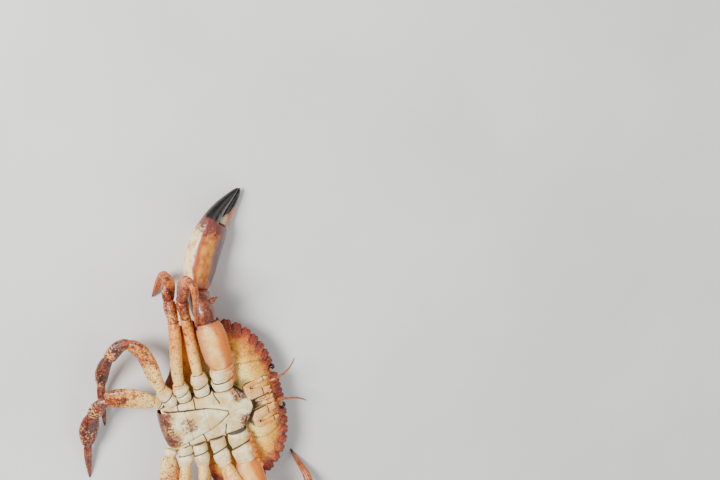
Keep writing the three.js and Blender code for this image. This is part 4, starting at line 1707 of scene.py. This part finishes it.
@dataclass
class Mouth:
    """The outer jaws, their strips and palps, and the mandibles between them.

    Attributes:
        middle_y: Where the mouth's middle line lies.
        hinge: Back end of the jaws' slope.
        pitch: How steeply the jaws slope down to the front.
        plate: Place, inner edge and outer edge of a jaw's plate.
        strip: The same of the strip beside it.
        link: The same of the piece that joins them.
        thick: Thickness of a jaw.
        palp_rows: Share of the length, half height and half thickness of a palp.
        mandible_rows: The same of a mandible.
    """

    middle_y: float = -3.0
    hinge: tuple[float, float] = (10.0, 37.6)
    pitch: float = math.radians(17)
    plate: Rows = (
        (12, 13.2, 15.0), (14.5, 10.4, 15.5), (19, 5.2, 15.4), (22, 4.9, 15.1), (30, 4.8, 13.3), (35, 5.0, 11.9),
        (38.2, 9.6, 11.1),
    )  # fmt: skip
    strip: Rows = ((15, 17.2, 20.4), (18, 16.8, 20.9), (26, 16.5, 21.3), (34, 16.6, 21.3), (38.3, 17.8, 19.2))
    link: Rows = ((14, 13, 19), (17, 13, 19), (20, 13, 19))
    thick: float = 4.2
    palp_rows: Rows = ((0, 1.5, 1.4), (0.5, 1.2, 1.1), (1, 0.5, 0.5))
    mandible_rows: Rows = ((0, 1.4, 1.3), (0.3, 1.8, 1.6), (0.75, 2.3, 1.8), (0.95, 2, 1.7), (1, 1.2, 1.2))

    def slab(self, rows: Rows, side: int, seams: Sequence[float], colour: float) -> Skin:
        """Makes one rounded plate of a jaw.

        Args:
            rows: Place, inner edge and outer edge.
            side: 1 for the right jaw, -1 for the left.
            seams: Where the plate is jointed.
            colour: Its edge mark.

        Returns:
            A closed surface.
        """
        share = 0.5 - 0.5 * np.cos(np.linspace(0, math.pi, 70))
        x = rows[0][0] + share * (rows[-1][0] - rows[0][0])
        inner, outer = profile(rows, x)
        closing = np.sqrt(np.clip(1 - np.abs(2 * share - 1) ** 8, 0.02, 1))
        turn = circle(48)
        s, t = fuller(np.cos(turn), 0.55)[None], fuller(np.sin(turn), 0.7)[None]
        middle, half = (inner + outer) / 2, (outer - inner) / 2 * closing
        # painted shade: dark towards the hinge end, where the jaw meets the shell, carried by the seam mark
        seam = ease(16.5, 13.0, x) * 0.8
        for at in seams:
            seam = np.maximum(seam, peak(x - at, 0.5))
        y = middle[:, None] + half[:, None] * s
        z = self.thick / 2 * (closing[:, None] * t + 1) - 0.6 * seam[:, None] * (t > 0)
        z = z + 0.6 * (1 - s**2) * (t > 0) - 0.3
        dx, dz = (x - self.hinge[0])[:, None], z - 0.6
        px = self.hinge[0] + dx * math.cos(self.pitch) + dz * math.sin(self.pitch)
        pz = self.hinge[1] - dx * math.sin(self.pitch) + dz * math.cos(self.pitch)
        rings = np.stack([px, side * y + self.middle_y, pz], axis=-1)
        # painted shade: a dark outline along the plate's sides, carried by the seam mark
        rim_line = ease(0.86, 0.96, np.abs(s))
        marks = {"seam": np.maximum(seam[:, None], rim_line), "edge": np.full((1, 1), colour)}
        return loft(rings, {**marks, "blotch": np.full((1, 1), 0.2)})

    def jaw(self, side: int) -> Skin:
        """Makes a whole outer jaw: plate, strip, link and palp."""
        link = self.slab(self.link, side, (), 0.4)
        link.points[:, 2] -= 1.0
        root = vec(36.0, side * 7.0 + self.middle_y, 33.5)
        palp = stick(root, vec(35.0, side * 3.6 + self.middle_y, 31.4), self.palp_rows, 18, 18)
        palp.marks = {"edge": palp.even(0.8)}
        skin = self.slab(self.plate, side, (30.0,), 0.55).with_skin(self.slab(self.strip, side, (33.0,), 1.0))
        return skin.with_skin(link).with_skin(palp)

    def mandibles(self) -> Skin:
        """Makes the two mandibles, closed in the middle."""
        skins = []
        for side in (-1, 1):
            y = self.middle_y + side * 1.9
            made = stick(vec(21, y, 33.6), vec(37.5, y, 33.6), self.mandible_rows, 56, 44)
            # darker towards the root and a little darker all over, through the seam mark
            made.marks["seam"] = 0.16 + 0.3 * ease(0.3, 0.0, made.marks["along"])
            made.marks["blotch"] = made.even(0.45)
            made.marks["edge"] = 0.7 * ease(0.3, 0.9, made.marks["along"])
            skins.append(made)
        return skins[0].with_skin(skins[1])


@dataclass
class Head:
    """The eyes on their stalks and the two short feelers.

    Attributes:
        eye_rows: Share of the length, half height and half thickness of an eye.
        feeler_rows: The same of a feeler.
        whip: Shares of a feeler's length between which its rings set in.
    """

    eye_rows: Rows = (
        (0, 1.6, 1.6), (0.2, 1.7, 1.7), (0.48, 1.8, 1.8), (0.7, 2.7, 2.7), (0.9, 2.3, 2.3), (1, 1, 1),
    )  # fmt: skip
    feeler_rows: Rows = (
        (0, 2.2, 2.2), (0.16, 2.3, 2.3), (0.22, 1.1, 1.1), (0.5, 0.8, 0.8), (0.8, 0.6, 0.6), (1, 0.4, 0.4),
    )  # fmt: skip
    whip: tuple[float, float] = (0.22, 0.25)

    def eye(self, side: int) -> Skin:
        """Makes one eye."""
        return Limb(
            vec(38.5, side * 14.2, 22.5), vec(46, side * 20, 21.5),
            unit(vec(0.8, side * 0.6, 0)), unit(vec(0.9, side * 0.4, 0)), vec(0, 0, 1), self.eye_rows,
            rings=40, around=32, square=1.0, lumps=(2.0, 0.0), lip=0.0, joint_skin=False,
        ).build()  # fmt: skip

    def feeler(self, side: int) -> Skin:
        """Makes one feeler, ringed along its whip."""
        skin = Limb(
            vec(38.5, side * 9.2, 27), vec(64, side * 21, 24),
            unit(vec(0.95, side * 0.1, 0.28)), unit(vec(0.6, side * 0.8, -0.3)), vec(0, 0, 1), self.feeler_rows,
            rings=160, around=16, square=1.0, lumps=(2.0, 0.0), lip=0.0, joint_skin=False,
        ).build()  # fmt: skip
        along = skin.marks["along"]
        skin.marks["seam"] = (0.5 + 0.5 * np.cos(along * 230)) * ease(*self.whip, along) * 0.5
        return skin


@dataclass
class Studio:
    """The floor, the lights and the camera.

    Attributes:
        eye: Place of the camera in millimetres.
        right: The camera's right.
        up: The camera's up.
        back: The way from the subject to the camera.
        lens: Focal length in millimetres.
        film: Width of the film in millimetres.
        reach: How far the floor goes from the middle, in metres.
        sky: Colour and strength of the sky's light.
    """

    eye: Place = (0, 372.6, 806.0)
    right: Place = (0.9407, -0.2281, 0.2511)
    up: Place = (0.2928, 0.9197, -0.2615)
    back: Place = (-0.1712, 0.3195, 0.932)
    lens: float = 50.0
    film: float = 36.0
    reach: float = 4.0
    sky: tuple[Colour, float] = ((0.9, 0.95, 1.0, 1.0), 0.36)

    def floor(self) -> None:
        """Lays a pale floor with a soft, faintly uneven finish."""
        g = Graph("pale_floor")
        colour = g.mix("E3E2DF", "DAD9D5", g.noise(220, 4.0).rise(0.35, 0.65))
        material = g.shine(colour, 0.7, g.noise(2, 3.0), 0.05)
        mesh = bpy.data.meshes.new("floor")
        corners = [(x * self.reach, y * self.reach, 0) for x, y in ((-1, -1), (1, -1), (1, 1), (-1, 1))]
        mesh.from_pydata(corners, [], [(0, 1, 2, 3)])
        mesh.materials.append(material)
        add_object("floor", mesh)

    def lights(self) -> None:
        """Hangs three soft lamps and sets a pale sky."""
        for name, place, size, power in (
            ("key", vec(-0.8, 0.8, 1.2), 0.6, 50.0),
            ("fill", vec(1.1, 0.2, 1.1), 1.4, 7.0),
            ("rim", vec(0.2, -1.3, 0.8), 1.0, 8.0),
        ):
            lamp = bpy.data.lights.new(name, "AREA")
            lamp.size = size
            lamp.energy = power
            holder = add_object(name, lamp)
            holder.location = place.tolist()
            holder.rotation_euler = Vector((-place).tolist()).to_track_quat("-Z", "Y").to_euler()
        world = bpy.data.worlds.new("sky")
        world.use_nodes = True
        sky = world.node_tree.nodes["Background"]
        sky.inputs["Color"].default_value, sky.inputs["Strength"].default_value = self.sky
        bpy.context.scene.world = world

    def camera(self) -> None:
        """Sets the camera where the photograph was taken from."""
        lens = bpy.data.cameras.new("view")
        lens.lens = self.lens
        lens.sensor_width = self.film
        lens.clip_start = 0.01
        holder = add_object("view", lens)
        turn = Matrix((self.right, self.up, self.back)).transposed()
        holder.matrix_world = Matrix.Translation(Vector(self.eye) * MM) @ turn.to_4x4()
        bpy.context.scene.camera = holder


def leg_finishes() -> Materials:
    """Makes the five finishes of a walking leg."""
    return {
        "base": BellyFinish("hip_cream", warm="DDB26C").make(),
        "merus": SpeckleFinish("leg_cream_to_orange", "FAD27C", "EE9430", (0.3, 0.82)).make(),
        "carpus": SpeckleFinish("leg_wrist", "E29A48", "A04A20", (0.9, 1.25), 1.5).make(),
        "propodus": SpeckleFinish("leg_hand", "A04A20", "C87430", (1.35, 1.0), 1.5).make(),
        "dactyl": SpeckleFinish("leg_tip", "C46A20", "A84C14", (0.9, 0.78), tip_from=0.84).make(),
    }


def claw_finishes(hip: bpy.types.Material) -> Materials:
    """Makes the five finishes of a claw.

    Args:
        hip: The finish of its base.

    Returns:
        The material for each kind of piece.
    """
    return {
        "base": hip,
        "merus": ClawArmFinish("claw_arm").make(),
        "carpus": ClawArmFinish("claw_wrist", 0.85).make(),
        "hand": HandFinish().make(),
        "finger": HornFinish().make(),
    }


def main() -> None:
    """Builds the crab and its stage."""
    logging.basicConfig(level=logging.INFO, format="%(name)s: %(message)s")
    studio = Studio()
    studio.camera()
    studio.floor()
    studio.lights()
    legs = leg_finishes()
    claws = claw_finishes(legs["base"])
    belly = BellyFinish("breast_cream").make()
    jaw = BellyFinish("jaw_cream", "FFE7A8", "EBAE58", "A4552E").make()
    parts: list[Part] = [Part("carapace", Shell().build(), ShellFinish().make(), Slot.SHELL)]
    fold = Abdomen()
    parts.append(Part("sternum", Breastplate().build(fold), belly, Slot.BELLY))
    parts.append(Part("abdomen", fold.build(), belly, Slot.BELLY))
    mouth = Mouth()
    parts.append(Part("mandibles", mouth.mandibles(), jaw, Slot.BELLY))
    eye = EyeFinish().make()
    whip = PlainFinish("feeler_red", "7E3014", "B8601F", 2.0, 0.42).make()
    head = Head()
    for word, side in (("right", 1), ("left", -1)):
        parts.append(Part(f"{word}_jaw", mouth.jaw(side), jaw, Slot.BELLY))
        parts.append(Part(f"{word}_eye", head.eye(side), eye, Slot.EYE))
        parts.append(Part(f"{word}_feeler", head.feeler(side), whip, Slot.FEELER))
    for leg in LEGS:
        parts += leg.build(legs)
    for claw in CLAWS:
        parts += claw.build(claws)
    for part in parts:
        part.set_up()


if __name__ == "__main__":
    main()
